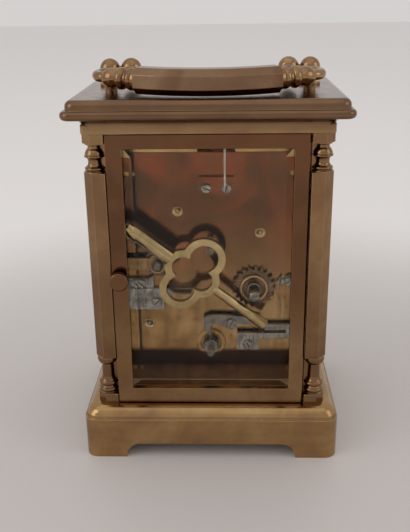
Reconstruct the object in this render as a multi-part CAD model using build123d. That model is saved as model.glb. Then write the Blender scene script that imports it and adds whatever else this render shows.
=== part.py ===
from build123d import *
from math import asin, atan2, cos, degrees, hypot, pi, radians, sin, sqrt
import os

# Brass carriage clock with alarm, glazed on five sides, its handle folded down towards the rear door.
# Millimetres, +Z up, origin under the middle of the base, dial towards -Y, rear door towards +Y.

# Fits and cuts that all pieces share
run_gap = 0.05
fit_gap = 0.02
seat_gap = 0.1
air_gap = 0.3
cut_over = 1.0

# Corner posts; the case's width, depth and height follow from the movement that it holds
post_width = 6.4
post_chamfer = 2.6
post_stud_radius = 1.1
post_stud_length = 2.0

# Base plinth and floor
base_overhang = 4.3
base_side_height = 13.5
base_mould_height = 3.7
base_mould_step = 0.5
base_mould_inset = 3.4
base_corner_radius = 4.0
base_wall = 4.5
deck_thickness = 4.0
foot_length = 13.2
arch_height = 4.9
arch_radius = 4.4
floor_thickness = 0.6
floor_gap = 0.4
base_mould_steps = 6
screw_head_radius = 2.0
screw_head_height = 1.3
screw_radius = 1.0
screw_depth = 6.0
slot_width = 0.5
slot_share = 0.45
head_bevel_share = 0.28
back_slot_turns = (35, 140, 65, 50, 120, 20, 75, 155)

# Roof with frieze, cove, nose and crown
frieze_height = 2.4
cove_height = 1.9
cove_reach = 3.7
nose_height = 2.6
nose_reach = 4.8
nose_round = 1.2
crown_height = 2.8
crown_inset = 1.3
crown_round = 1.9
roof_corner_radius = 3.0
roof_rim = 6.5
roof_plate = 2.0
cove_steps = 5
window_width = 36.0
window_depth = 22.0
window_corner = 3.0
window_lap = 1.2
window_glass = 1.4

# Bevelled glass
glass_thickness = 2.4
glass_rim = 1.0
bevel_width = 3.5
groove_depth = 1.1
glass_clear = 3.1

# Rear door
door_gap = 0.3
door_thickness = 3.2
door_setback = 0.3
stile_width = 4.6
top_rail = 4.0
bottom_rail = 4.8
rabbet_lap = 0.9
door_pin_inset = 2.0
door_pin_setback = 1.4
door_pin_radius = 0.6
door_pin_reach = 1.5
door_pin_root = 2.4
hinge_round = 1.0
knob_rise = 41.9
knob_radius = 2.9
knob_length = 3.4
knob_neck_radius = 1.3
knob_neck_length = 0.9
knob_round = 0.7
knob_shank_radius = 0.9

# Handle, seen with its plane laid flat: along X and out from the pivot line
pivot_rise = 5.1
ball_offset = 0.542
ball_radius = 3.2
post_ball_radius = 3.1
handle_stem_radius = 1.9
handle_collar_radius = 3.3
handle_collar_height = 1.0
handle_stud_radius = 1.2
handle_stud_length = 3.0
pivot_pin_radius = 0.9
pivot_pin_depth = 1.6
grip_length = 38.8
grip_setback = 8.3
grip_bow = 4.6
grip_height = 7.3
grip_depth = 6.8
grip_flat_share = 0.5
arm_length = 12.0
arm_radius = 1.5
arm_bulb_radius = 2.7
arm_ring_radius = 3.1
arm_neck_radius = 2.1
arm_bend = 4.6
arm_hook = 4.4
arm_ring_shares = (0.0, 0.10, 0.30, 0.36, 0.58)

# Movement plates and pillars
plate_thickness = 2.0
plate_side_gap = 1.7
barrel_overhang = 0.74
barrel_shake = 1.8
arbor_end_gap = 1.5
movement_headroom = 9.8
pillar_radius = 2.4
pillar_inset = 4.1
pillar_low = 4.2
pillar_high = 4.9
small_head_radius = 1.5
small_head_height = 0.9
small_screw_radius = 0.7
small_screw_depth = 1.6
oil_sink_radius = 1.6
oil_sink_depth = 0.6
spare_sink_out = 15.6
spare_sink_up = 3.4

# Trains: tooth sizes, counts and the directions from one arbor to the next
centre_rise = 47.9
centre_headroom = 27.2
barrel_module = 0.704
train_module = 0.4
barrel_teeth = 40
centre_pinion_teeth = 16
centre_teeth = 60
third_pinion_teeth = 12
third_teeth = 54
contrate_pinion_teeth = 12
contrate_teeth = 48
contrate_radius = 7.0
escape_pinion_teeth = 8
going_angle = 226.0
third_angle = 46.0
contrate_angle = 156.0
tip_share = 0.8
root_share = 1.15
tooth_root_share = 0.50
tooth_tip_share = 0.20
arbor_radius = 1.2
pivot_radius = 0.6
wheel_thickness = 1.2
pinion_overlap = 0.5
third_level = 1.6
centre_level = 5.2
barrel_level = 8.6
contrate_level = 12.4
crown_tooth_height = 1.5
crown_tooth_width = 1.2
crown_rim = 0.4
mesh_depth = 0.6

# Barrels and mainsprings
barrel_flange = 2.2
barrel_height = 12.4
barrel_wall = 1.0
barrel_cap = 1.2
barrel_body_share = 0.9
barrel_arbor_radius = 2.0
barrel_pivot_radius = 1.2
spring_hub_radius = 3.0
spring_strip = 0.5
spring_turns = 5
spring_gap = 0.5

# Alarm side
alarm_place = 16.4
alarm_drop = 5.8
alarm_module = 0.5
alarm_teeth = 46
alarm_pinion_teeth = 10
alarm_wheel_angle = 288.0
alarm_level = 13.6
alarm_flange = 1.6
alarm_height = 8.0
alarm_wheel_level = 9.0
alarm_wheel_teeth = 16
alarm_wheel_radius = 5.2
alarm_wheel_root = 4.0
hammer_angle = 266.0
hammer_reach = 8.4
hammer_arm_width = 1.6
hammer_arm_thickness = 1.2
hammer_head_radius = 1.8
hammer_head_length = 4.0
hammer_head_drop = 4.0
hammer_pallet_width = 1.0
hammer_play = 3.5
bell_radius = 15.5
bell_height = 6.8
bell_wall = 1.0
bell_stud_radius = 1.5
bell_nut_radius = 2.6
bell_nut_height = 1.2
bell_dish_share = 0.35

# Alarm setting arbor and hand setting arbor
set_alarm_drop = 34.0
set_radius = 1.1
set_square = 1.9
set_square_end = 7.8
set_square_length = 5.4
alarm_set_end = 8.7
knurl_radius = 2.6
knurl_root = 2.1
knurl_teeth = 14
knurl_length = 3.6
knurl_collar_radius = 4.6
knurl_collar_wall = 1.2
knurl_collar_height = 0.9
centre_tube_wall = 0.9

# Ratchets and winding squares on the back plate
ratchet_thickness = 1.6
ratchet_teeth = 20
going_ratchet_radius = 7.0
alarm_ratchet_radius = 4.6
ratchet_root_share = 0.80
going_end = 10.2
alarm_end = 5.8
square_side = 3.3
square_corner_radius = 1.85
square_dome = 0.7
square_bulge = 0.16
square_tip_share = 0.55
square_start = 3.4
collar_radius = 4.5
collar_wall = 0.95
collar_height = 1.2

# Bridge that steadies the alarm arbor
bridge_thickness = 0.9
bridge_height = 3.8
bridge_eye = 3.1
bridge_foot = 3.2

# Clicks, leaf springs and their feet
click_thickness = 1.3
click_hub = 1.9
click_beak = 0.35
click_screw_radius = 0.8
going_click_out = 9.7
going_click_up = 2.0
alarm_click_out = 5.6
alarm_click_down = 7.0
alarm_click_tail = 4.0
alarm_click_height = 3.0
alarm_beak_place = 1.6
leaf_width = 1.9
alarm_leaf_length = 20.0
alarm_foot_length = 11.0
alarm_foot_height = 5.4
alarm_foot_screw_share = 0.8
hook_out = 6.6
hook_up_share = 0.6162
hook_rise_share = 0.2028
hook_thick_share = 0.1872
hook_tail_length = 9.4
hook_tail_low = 0.5
hook_tail_high_share = 0.1248
hook_hub_share = 0.1872
set_leaf_length = 16.0
set_foot_length = 7.0
set_foot_height = 4.0
leaf_fold = 1.0
fold_share = 0.45

# Contrate cock, platform, escapement and regulator
cock_width = 10.8
cock_height = 7.0
cock_thickness = 1.5
cock_rise = 2.3
cock_screw_place = 3.05
platform_inset = 1.6
platform_thickness = 2.5
platform_notch_width = 11.4
platform_notch_depth = 2.4
platform_screw_inset = 4.0
escape_teeth = 15
escape_radius = 4.4
escape_root = 3.5
escape_rise = 1.0
escape_thickness = 0.8
escape_cock_height = 3.0
escape_cock_thickness = 0.9
escape_cock_width = 5.0
escape_cock_foot = 3.0
lever_reach = 6.2
lever_width = 1.0
lever_thickness = 0.7
lever_hub = 1.1
pallet_reach_angle = 38.0
fork_share = 0.62
balance_reach = 5.8
balance_rise = 4.6
balance_radius = 6.8
balance_rim = 0.9
balance_thickness = 0.9
balance_spoke = 0.9
balance_hub = 1.1
staff_radius = 0.45
hairspring_wire = 0.09
hairspring_inner = 1.3
hairspring_pitch = 0.66
hairspring_turns = 4
hairspring_rise = 1.0
balance_cock_rise = 1.6
balance_cock_thickness = 1.0
balance_cock_width = 4.2
balance_cock_foot = 3.4
balance_cock_reach = 8.8
index_ring = 2.1
index_thickness = 0.45
index_width = 0.6
index_clear = 3.4
index_drop = 8.1
index_side = 2.6

# Dial side
dial_clear = 2.0
mask_thickness = 0.8
mask_gap = 0.4
mask_foot_radius = 1.5
mask_foot_inset = 9.0
dial_radius = 21.0
alarm_dial_radius = 7.6
enamel_thickness = 0.8
hand_gap = 1.0
hand_thickness = 0.5
hour_hand_length = 12.5
minute_hand_length = 18.5
alarm_hand_length = 5.6
hand_width = 1.5
hand_tip = 0.3
hand_hub = 2.4
hour_hand_angle = 305.0
minute_hand_angle = 60.0
alarm_hand_angle = 90.0
hand_bulge_share = 0.62
cannon_teeth = 12
minute_teeth = 36
minute_pinion_teeth = 10
hour_teeth = 40
motion_reach = 9.0
motion_angle = 215.0
cannon_radius = 1.5
hour_pipe_wall = 0.5
motion_wheel = 1.1
motion_start = 0.6

# Winding key: two shafts and a four-lobed bow
key_setback = 8.4
key_angle = 38.0
key_lean = 1.6
bow_thickness = 2.2
bow_lobe = 6.14
bow_side_lobe = 3.53
bow_outer = 6.46
bow_side_outer = 5.6
bow_band = 2.15
key_big_radius = 2.6
key_big_length = 15.8
key_big_bore = 3.5
key_big_bore_depth = 9.0
key_thin_radius = 1.35
key_thin_tip_radius = 1.75
key_thin_length = 19.9
key_thin_bore = 1.7
key_thin_bore_depth = 6.0
key_root_share = 0.35


def polar(centre, radius, angle):
    return (centre[0] + radius * cos(radians(angle)), centre[1] + radius * sin(radians(angle)))


def pitch_radius(teeth, module):
    return teeth * module / 2


def tip_radius(teeth, module):
    return pitch_radius(teeth, module) + tip_share * module


def mesh_distance(teeth_a, teeth_b, module):
    return pitch_radius(teeth_a, module) + pitch_radius(teeth_b, module)


# Heights of the base, and arbor places in the plane of the plates as (x, z)
deck_top = base_side_height + base_mould_height
deck_under = deck_top - deck_thickness
floor_top = deck_top + floor_thickness
centre_at = (0, floor_top + centre_rise)
going_at = polar(centre_at, mesh_distance(barrel_teeth, centre_pinion_teeth, barrel_module), going_angle)
third_at = polar(centre_at, mesh_distance(centre_teeth, third_pinion_teeth, train_module), third_angle)
contrate_at = polar(third_at, mesh_distance(third_teeth, contrate_pinion_teeth, train_module), contrate_angle)
alarm_at = (alarm_place, centre_at[1] - alarm_drop)
alarm_wheel_at = polar(alarm_at, mesh_distance(alarm_teeth, alarm_pinion_teeth, alarm_module), alarm_wheel_angle)
hammer_at = polar(alarm_wheel_at, hammer_reach, hammer_angle)
alarm_set_at = (0, centre_at[1] - set_alarm_drop)
# the hook keeps to the room between the alarm-setting arbor and the going ratchet
hook_room = going_at[1] - going_ratchet_radius - alarm_set_at[1]
hook_up = hook_room * hook_up_share
hook_rise = hook_room * hook_rise_share
hook_thick = hook_room * hook_thick_share
hook_tail_high = hook_room * hook_tail_high_share
hook_hub = hook_room * hook_hub_share
minute_at = polar(centre_at, motion_reach, motion_angle)

# Case round the movement
barrel_side = tip_radius(barrel_teeth, barrel_module) - going_at[0]
plate_width = 2 * (barrel_side - barrel_overhang)
plate_top = centre_at[1] + centre_headroom
plate_height = plate_top - floor_top
plate_gap = barrel_level + barrel_flange + barrel_height + barrel_shake
plate_setback = going_end + arbor_end_gap + door_thickness + door_setback
dial_space = motion_start + 2 * motion_wheel + air_gap + dial_clear
hand_stack = 2 * hand_gap + 2 * hand_thickness + air_gap
front_space = hand_stack + glass_clear + (post_width + glass_rim) / 2
inner_x = plate_width / 2 + plate_side_gap
case_width = 2 * (inner_x + post_width)
case_depth = plate_setback + plate_gap + 2 * plate_thickness + dial_space + mask_thickness + enamel_thickness
case_depth = case_depth + front_space
inner_y = case_depth / 2 - post_width
post_x = (case_width - post_width) / 2
post_y = (case_depth - post_width) / 2
base_width = case_width + 2 * base_overhang
base_depth = case_depth + 2 * base_overhang
eaves = plate_top + movement_headroom
post_height = eaves - deck_top
roof_top = eaves + frieze_height + cove_height + nose_height + crown_height
roof_inside = roof_top - roof_plate
door_half = inner_x - door_gap
door_low = deck_top + door_gap
door_high = eaves - door_gap
door_face = case_depth / 2 - door_setback
door_inside = door_face - door_thickness
door_pin_x = door_pin_inset - door_half
door_pin_y = door_face - door_pin_setback

# Planes of the movement along Y
back_face = case_depth / 2 - plate_setback
back_inside = back_face - plate_thickness
front_inside = back_inside - plate_gap
front_face = front_inside - plate_thickness
mask_back = front_face - dial_space
mask_face = mask_back - mask_thickness
dial_face = mask_face - enamel_thickness
work_face = back_face + air_gap

# Handle: its arm leaves the grip along the grip's curve, bends back and hooks into the pivot ball
pivot_z = roof_top + pivot_rise
grip_reach = case_depth / 2 + nose_reach - grip_setback
grip_curve_radius = ((grip_length / 2) ** 2 + grip_bow ** 2) / (2 * grip_bow)
grip_end_angle = asin(grip_length / 2 / grip_curve_radius)
arm_corner_x = grip_length / 2 + arm_length * cos(grip_end_angle)
ball_place = arm_corner_x - arm_bend * sin(grip_end_angle) - arm_hook + ball_offset
handle_post_x = ball_place + ball_radius + air_gap + post_ball_radius

# Levels between the plates, counted from the front plate
third_y = front_inside + third_level
centre_y = front_inside + centre_level
barrel_y = front_inside + barrel_level
contrate_y = front_inside + contrate_level
alarm_y = front_inside + alarm_level
alarm_wheel_y = front_inside + alarm_wheel_level

# Escapement places on the platform, as (x, y)
platform_top = plate_top + platform_thickness
escape_pinion_radius = contrate_radius * escape_pinion_teeth / contrate_teeth
crown_tip_y = contrate_y + wheel_thickness + crown_tooth_height
escape_at = (contrate_at[0], crown_tip_y + escape_pinion_radius - mesh_depth / 2)
lever_at = (escape_at[0], escape_at[1] - lever_reach)
balance_at = (lever_at[0], lever_at[1] - balance_reach)
escape_z = platform_top + escape_rise
balance_z = platform_top + balance_rise
cock_z = balance_z + balance_thickness + balance_cock_rise
index_z = cock_z + balance_cock_thickness + seat_gap


# Simple shapes
def block(x, y, z):
    middle = Pos((x[0] + x[1]) / 2, (y[0] + y[1]) / 2, (z[0] + z[1]) / 2)
    return middle * Box(x[1] - x[0], y[1] - y[0], z[1] - z[0])


def rod(at, low, high, radius):
    return Pos(at[0], (low + high) / 2, at[1]) * Rot(90, 0, 0) * Cylinder(radius, high - low)


def pillar(at, low, high, radius):
    return Pos(at[0], at[1], (low + high) / 2) * Cylinder(radius, high - low)


def slab(face, low, high):
    return extrude(Plane.XZ.offset(-low) * face, -(high - low))


def sheet(face, low, high):
    return Pos(0, 0, low) * extrude(face, high - low)


def outline(points):
    return make_face(Polyline(*points, close=True))


def ring_points(teeth, turn, steps):
    points = []
    for tooth in range(teeth):
        middle = radians(turn) + 2 * pi * tooth / teeth
        for radius, share in steps:
            angle = middle + share * pi / teeth
            points.append((radius * cos(angle), radius * sin(angle)))
    return points


def tooth_face(teeth, root, tip, turn):
    root_half = tooth_root_share
    tip_half = tooth_tip_share
    steps = ((root, -root_half), (tip, -tip_half), (tip, tip_half), (root, root_half))
    return outline(ring_points(teeth, turn, steps))


def gear_face(teeth, module, turn):
    middle = pitch_radius(teeth, module)
    return tooth_face(teeth, middle - root_share * module, middle + tip_share * module, turn)


def ratchet_face(teeth, root, tip, turn):
    lean_share = 0.3
    return outline(ring_points(teeth, turn, ((root, 0), (tip, lean_share))))


def gear(at, teeth, module, turn, low, high):
    return slab(Pos(*at) * gear_face(teeth, module, turn), low, high)


def pair_turns(angle, follower_teeth):
    return angle, angle + 180 + 180 / follower_teeth


def screw(at, seat, head_radius, head_height, radius, depth, outward):
    ends = sorted((seat, seat + outward * head_height))
    shank = sorted((seat, seat - outward * depth))
    head = rod(at, ends[0], ends[1], head_radius)
    rims = head.edges().group_by(Axis.Y)
    rim = rims[-1] if outward > 0 else rims[0]
    body = chamfer(rim, head_height * head_bevel_share) + rod(at, shank[0], shank[1], radius)
    floor = seat + outward * head_height * (1 - slot_share)
    top = seat + outward * (head_height + cut_over)
    slot = sorted((floor, top))
    half = slot_width / 2
    reach = head_radius + cut_over
    cut = block((at[0] - reach, at[0] + reach), slot, (at[1] - half, at[1] + half))
    return body - cut


def standing_screw(at, seat, head_radius, head_height, radius, depth, upward):
    flat = screw((0, 0), 0, head_radius, head_height, radius, depth, 1)
    return Pos(at[0], at[1], seat) * Rot(90 * upward, 0, 0) * flat


def turned(stations):
    # stations are (radius, height) for a straight step or (radius, height, bulge) for a round one
    edges = []
    last = stations[0][:2]
    edges.append(Line((0, last[1]), last))
    for station in stations[1:]:
        here = station[:2]
        if len(station) == 3:
            middle = ((last[0] + here[0]) / 2 + station[2], (last[1] + here[1]) / 2)
            edges.append(ThreePointArc(last, middle, here))
        else:
            edges.append(Line(last, here))
        last = here
    edges.append(Line(last, (0, last[1])))
    edges.append(Line((0, last[1]), (0, stations[0][1])))
    return revolve(Plane.XZ * make_face(Wire(edges)), Axis.Z)


def spiral(inner, pitch, turns):
    # half circles whose centres change sides, so that each turn is one pitch further out
    edges = []
    side = 1
    left = -inner
    for half_turn in range(2 * turns):
        radius = inner + half_turn * pitch / 2
        far = left + side * 2 * radius
        middle = (left + far) / 2
        edges.append(ThreePointArc((left, 0), (middle, side * radius), (far, 0)))
        left = far
        side = -side
    return Wire(edges)


def least_turn_gap(path, thickness, turns):
    samples = [path @ (step / (48 * turns)) for step in range(48 * turns + 1)]
    least = None
    for first, point in enumerate(samples):
        for other in samples[first + 24:]:
            gap = (point - other).length - thickness
            least = gap if least is None else min(least, gap)
    return least


def bevelled_glass(width, height, lap):
    rim = extrude(Rectangle(width, height), glass_rim)
    low = Pos(0, 0, glass_rim) * Rectangle(width - 2 * lap, height - 2 * lap)
    high = Pos(0, 0, glass_thickness) * Rectangle(width - 2 * bevel_width, height - 2 * bevel_width)
    return rim + loft([low, high])


def plate_holes(places, low, high):
    holes = []
    for at, radius in places:
        holes.append(rod(at, low - cut_over, high + cut_over, radius))
    return holes


# Base plinth: hollow casting on four bracket feet
def arch_cut(length, half):
    upper = Pos(0, arch_height / 2) * Rectangle(2 * (half - arch_radius), arch_height)
    lower = Pos(0, (arch_height - arch_radius) / 2) * Rectangle(2 * half, arch_height - arch_radius)
    face = upper + lower
    for side in (-1, 1):
        face = face + Pos(side * (half - arch_radius), arch_height - arch_radius) * Circle(arch_radius)
    over = Pos(0, -cut_over / 2) * Rectangle(2 * half, cut_over)
    under = Pos(0, -arch_height) * Rectangle(2 * half, 2 * arch_height)
    return slab(face - under + over, -length / 2 - cut_over, length / 2 + cut_over)


def base_section(height, inset):
    size = (base_width - 2 * inset, base_depth - 2 * inset)
    return Pos(0, 0, height) * RectangleRounded(*size, base_corner_radius)


def make_base():
    body = extrude(base_section(0, 0), base_side_height)
    sections = []
    for step in range(base_mould_steps + 1):
        angle = radians(90 * step / base_mould_steps)
        inset = base_mould_step + base_mould_inset * (1 - cos(angle))
        sections.append(base_section(base_side_height + base_mould_height * sin(angle), inset))
    body = body + loft(sections, ruled=True)
    half_x = base_width / 2 - base_wall
    half_y = base_depth / 2 - base_wall
    body = body - block((-half_x, half_x), (-half_y, half_y), (-cut_over, deck_under))
    body = body - arch_cut(base_depth, base_width / 2 - foot_length)
    body = body - Rot(0, 0, 90) * arch_cut(base_width, base_depth / 2 - foot_length)
    for at in corner_places():
        body = body - pillar(at, deck_under - cut_over, deck_top + cut_over, screw_radius + run_gap)
    for at in movement_screw_places():
        body = body - pillar(at, deck_under - cut_over, deck_top + cut_over, screw_radius + run_gap)
    pin_floor = door_low - door_pin_reach - seat_gap - door_gap
    body = body - pillar((door_pin_x, door_pin_y), pin_floor, deck_top + cut_over, door_pin_radius + run_gap)
    body = body - pillar((0, 0), deck_under - cut_over, deck_top + cut_over, bell_stud_radius + fit_gap)
    return body - hammer_slot(deck_under, deck_top)


def hammer_slot(low, high):
    middle = alarm_wheel_y + hammer_arm_thickness / 2
    half = hammer_arm_thickness / 2 + 2 * air_gap
    reach = hammer_arm_width / 2 + hammer_play
    return block((hammer_at[0] - reach, hammer_at[0] + reach), (middle - half, middle + half),
                 (low - cut_over, high + cut_over))


def corner_places():
    return [(side_x * post_x, side_y * post_y) for side_x in (-1, 1) for side_y in (-1, 1)]


def movement_screw_places():
    middle = (front_inside + back_inside) / 2
    return [(side * (plate_width / 2 - pillar_inset), middle) for side in (-1, 1)]


def make_floor():
    front = post_y - glass_rim / 2 - floor_gap
    half = inner_x - floor_gap
    # the door's inner edge swings past the back of the floor
    swing = hypot(door_pin_inset, door_thickness - door_pin_setback)
    back = door_pin_y - swing - air_gap
    plate = block((-half, half), (-front, back), (deck_top, floor_top))
    for at in movement_screw_places():
        plate = plate - pillar(at, deck_top - cut_over, floor_top + cut_over, screw_radius + run_gap)
    return plate - hammer_slot(deck_top, floor_top)


def make_base_screws():
    screws = []
    for at in corner_places():
        depth = deck_thickness + screw_depth
        screws.append(standing_screw(at, deck_under, screw_head_radius, screw_head_height, screw_radius,
                                     depth, -1))
    for at in movement_screw_places():
        depth = deck_thickness + floor_thickness + pillar_low
        screws.append(standing_screw(at, deck_under, screw_head_radius, screw_head_height, screw_radius,
                                     depth, -1))
    return screws


# Corner posts: chamfered square shaft between turned ends and square blocks
post_block_shares = (0.037, 0.966)
post_low_shares = ((0.80, 0.037), (0.80, 0.042), (0.90, 0.044), (0.90, 0.056, 0.05), (0.80, 0.058), (0.72, 0.062),
                   (0.72, 0.066), (0.88, 0.069), (0.88, 0.082, 0.06), (0.78, 0.084), (0.60, 0.108, -0.06),
                   (0.56, 0.152), (0.72, 0.154), (0.93, 0.182, 0.12), (0.93, 0.185))
post_high_shares = ((0.93, 0.869), (0.93, 0.872), (0.76, 0.873), (0.76, 0.876), (0.88, 0.878), (0.88, 0.885, 0.04),
                    (0.80, 0.887), (0.60, 0.905, -0.08), (0.78, 0.919, -0.05), (0.88, 0.920), (0.88, 0.926, 0.04),
                    (0.81, 0.927), (0.81, 0.929), (0.86, 0.930), (0.56, 0.950, 0.05), (0.56, 0.958),
                    (0.80, 0.962), (0.80, 0.966))


def chamfered_square():
    half = post_width / 2
    inner = half - post_chamfer
    return outline(((-half, -half), (half, -half), (half, inner), (inner, half), (-half, half)))


def turned_shares(shares):
    half = post_width / 2
    stations = []
    for share in shares:
        station = [share[0] * half, deck_top + share[1] * post_height]
        if len(share) == 3:
            station.append(share[2] * half)
        stations.append(tuple(station))
    return turned(stations)


def make_post(side_x, side_y):
    low = deck_top + post_block_shares[0] * post_height
    high = deck_top + post_block_shares[1] * post_height
    shaft_low = deck_top + post_low_shares[-1][1] * post_height
    shaft_high = deck_top + post_high_shares[0][1] * post_height
    square = chamfered_square()
    body = sheet(square, deck_top, low) + sheet(square, high, eaves) + sheet(square, shaft_low, shaft_high)
    body = body + turned_shares(post_low_shares) + turned_shares(post_high_shares)
    # the inner quarter stays square beside the glass and the door
    half = post_width / 2
    body = body + block((-half, 0), (-half, 0), (deck_top, eaves))
    body = body + pillar((0, 0), eaves, eaves + post_stud_length, post_stud_radius)
    bore_top = deck_top + screw_depth + seat_gap
    body = body - pillar((0, 0), deck_top - cut_over, bore_top, screw_radius + fit_gap)
    quarter = {(1, 1): 0, (-1, 1): 90, (-1, -1): 180, (1, -1): 270}[(side_x, side_y)]
    body = Pos(side_x * post_x, side_y * post_y, 0) * Rot(0, 0, quarter) * body
    slot = glass_rim / 2 + seat_gap
    side_y_wall = sorted((side_y * (inner_y - cut_over), side_y * (inner_y + groove_depth)))
    side_x_mid = side_x * post_x
    body = body - block((side_x_mid - slot, side_x_mid + slot), side_y_wall, (deck_top, eaves))
    if side_y < 0:
        x_wall = sorted((side_x * (inner_x - cut_over), side_x * (inner_x + groove_depth)))
        body = body - block(x_wall, (-post_y - slot, -post_y + slot), (deck_top, eaves))
    return body


# Roof: frieze, cove, rounded nose and crown, open inside under a glazed window
def roof_section(height, reach):
    size = (case_width + 2 * reach, case_depth + 2 * reach)
    return Pos(0, 0, height) * RectangleRounded(*size, roof_corner_radius)


def roof_layer(low, height, reach, low_round, high_round):
    layer = extrude(roof_section(low, reach), height)
    layer = fillet(layer.faces().sort_by(Axis.Z)[-1].edges(), high_round)
    if low_round:
        layer = fillet(layer.faces().sort_by(Axis.Z)[0].edges(), low_round)
    return layer


def make_roof():
    body = extrude(Pos(0, 0, eaves) * RectangleRounded(case_width, case_depth, post_chamfer / 2), frieze_height)
    low = eaves + frieze_height
    sections = []
    for step in range(cove_steps + 1):
        angle = radians(90 * step / cove_steps)
        sections.append(roof_section(low + cove_height * sin(angle), cove_reach * (1 - cos(angle))))
    body = body + loft(sections, ruled=True)
    nose_low = low + cove_height
    body = body + roof_layer(nose_low, nose_height, nose_reach, nose_round, nose_round)
    crown_reach = nose_reach - crown_inset
    body = body + roof_layer(nose_low + nose_height, crown_height, crown_reach, 0, crown_round)
    half_x = case_width / 2 - roof_rim
    half_y = case_depth / 2 - roof_rim
    body = body - block((-half_x, half_x), (-half_y, half_y), (eaves - cut_over, roof_inside))
    window = RectangleRounded(window_width, window_depth, window_corner)
    lap = RectangleRounded(window_width + 2 * window_lap, window_depth + 2 * window_lap, window_corner)
    body = body - sheet(window, roof_inside - cut_over, roof_top + cut_over)
    body = body - sheet(lap, roof_top - window_glass, roof_top + cut_over)
    for at in corner_places():
        bore_top = eaves + post_stud_length + seat_gap
        body = body - pillar(at, eaves - cut_over, bore_top, post_stud_radius + fit_gap)
    pin_top = door_high + door_gap + door_pin_reach + seat_gap
    body = body - pillar((door_pin_x, door_pin_y), eaves - cut_over, pin_top, door_pin_radius + run_gap)
    for side in (-1, 1):
        stud_floor = roof_top - handle_stud_length - seat_gap
        at = (side * handle_post_x, 0)
        body = body - pillar(at, stud_floor, roof_top + cut_over, handle_stud_radius + fit_gap)
    return body


def make_roof_glass():
    width = window_width + 2 * (window_lap - seat_gap)
    depth = window_depth + 2 * (window_lap - seat_gap)
    return sheet(RectangleRounded(width, depth, window_corner), roof_top - window_glass, roof_top)


# Glass of the front and the sides, held in the posts' grooves
def make_side_glass(side):
    width = 2 * (inner_y + groove_depth - seat_gap)
    height = post_height - seat_gap
    panel = bevelled_glass(width, height, groove_depth)
    origin = (side * (post_x - glass_rim / 2), 0, deck_top + height / 2)
    return Plane(origin=origin, x_dir=(0, side, 0), z_dir=(side, 0, 0)) * panel


def make_front_glass():
    width = 2 * (inner_x + groove_depth - seat_gap)
    height = post_height - seat_gap
    origin = (0, -post_y + glass_rim / 2, deck_top + height / 2)
    return Plane(origin=origin, x_dir=(1, 0, 0), z_dir=(0, -1, 0)) * bevelled_glass(width, height, groove_depth)


# Rear door on two pivot pins
def door_opening(extra):
    half = door_half - stile_width + extra
    return (-half, half), (door_low + bottom_rail - extra, door_high - top_rail + extra)


def make_door_frame():
    body = block((-door_half, door_half), (door_inside, door_face), (door_low, door_high))
    edge = [e for e in body.edges().filter_by(Axis.Z) if e.center().Y > door_pin_y and e.center().X < 0]
    body = fillet(edge, hinge_round)
    x, z = door_opening(0)
    body = body - block(x, (door_inside - cut_over, door_face + cut_over), z)
    x, z = door_opening(rabbet_lap)
    body = body - block(x, (door_inside - cut_over, door_inside + glass_rim + seat_gap), z)
    at = (door_pin_x, door_pin_y)
    body = body - pillar(at, door_low - cut_over, door_low + door_pin_root, door_pin_radius + fit_gap)
    body = body - pillar(at, door_high - door_pin_root, door_high + cut_over, door_pin_radius + fit_gap)
    shank = rod(knob_at(), door_inside + knob_neck_length, door_face + cut_over, knob_shank_radius + fit_gap)
    return body - shank


def make_door_glass():
    x, z = door_opening(rabbet_lap - seat_gap)
    panel = bevelled_glass(x[1] - x[0], z[1] - z[0], rabbet_lap)
    origin = (0, door_inside + seat_gap, (z[0] + z[1]) / 2)
    return Plane(origin=origin, x_dir=(-1, 0, 0), z_dir=(0, 1, 0)) * panel


def make_door_pins():
    at = (door_pin_x, door_pin_y)
    reach = door_gap + door_pin_reach
    low = pillar(at, door_low - reach, door_low + door_pin_root, door_pin_radius)
    high = pillar(at, door_high - door_pin_root, door_high + reach, door_pin_radius)
    return [low, high]


def knob_at():
    return (door_half - stile_width / 2, door_low + knob_rise)


def make_knob():
    button = rod(knob_at(), door_face + knob_neck_length, door_face + knob_length, knob_radius)
    button = fillet(button.edges().filter_by(GeomType.CIRCLE), knob_round)
    neck = rod(knob_at(), door_face, door_face + knob_neck_length + knob_round, knob_neck_radius)
    shank = rod(knob_at(), door_inside + knob_neck_length + seat_gap, door_face, knob_shank_radius)
    return button + neck + shank


# Handle, built with its plane flat at the pivot height and then let down onto the roof
grip_sink = asin((pivot_rise - grip_height / 2 - air_gap) / grip_reach)


def let_down(shape):
    return Pos(0, 0, pivot_z) * Rot(-degrees(grip_sink), 0, 0) * shape


def grip_curve():
    half = grip_length / 2
    return ThreePointArc((-half, grip_reach - grip_bow, 0), (0, grip_reach, 0), (half, grip_reach - grip_bow, 0))


def make_grip():
    curve = grip_curve()
    tall = grip_height / 2
    deep = grip_depth / 2
    flat = grip_flat_share
    corners = []
    for side_a, side_b in ((1, 1), (-1, 1), (-1, -1), (1, -1)):
        near = (side_a * tall, side_b * deep * flat)
        far = (side_a * tall * flat, side_b * deep)
        corners += [near, far] if side_a == side_b else [far, near]
    start = Plane(origin=curve @ 0, x_dir=(0, 0, 1), z_dir=curve % 0)
    return let_down(sweep(start * outline(corners), path=curve))


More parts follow.
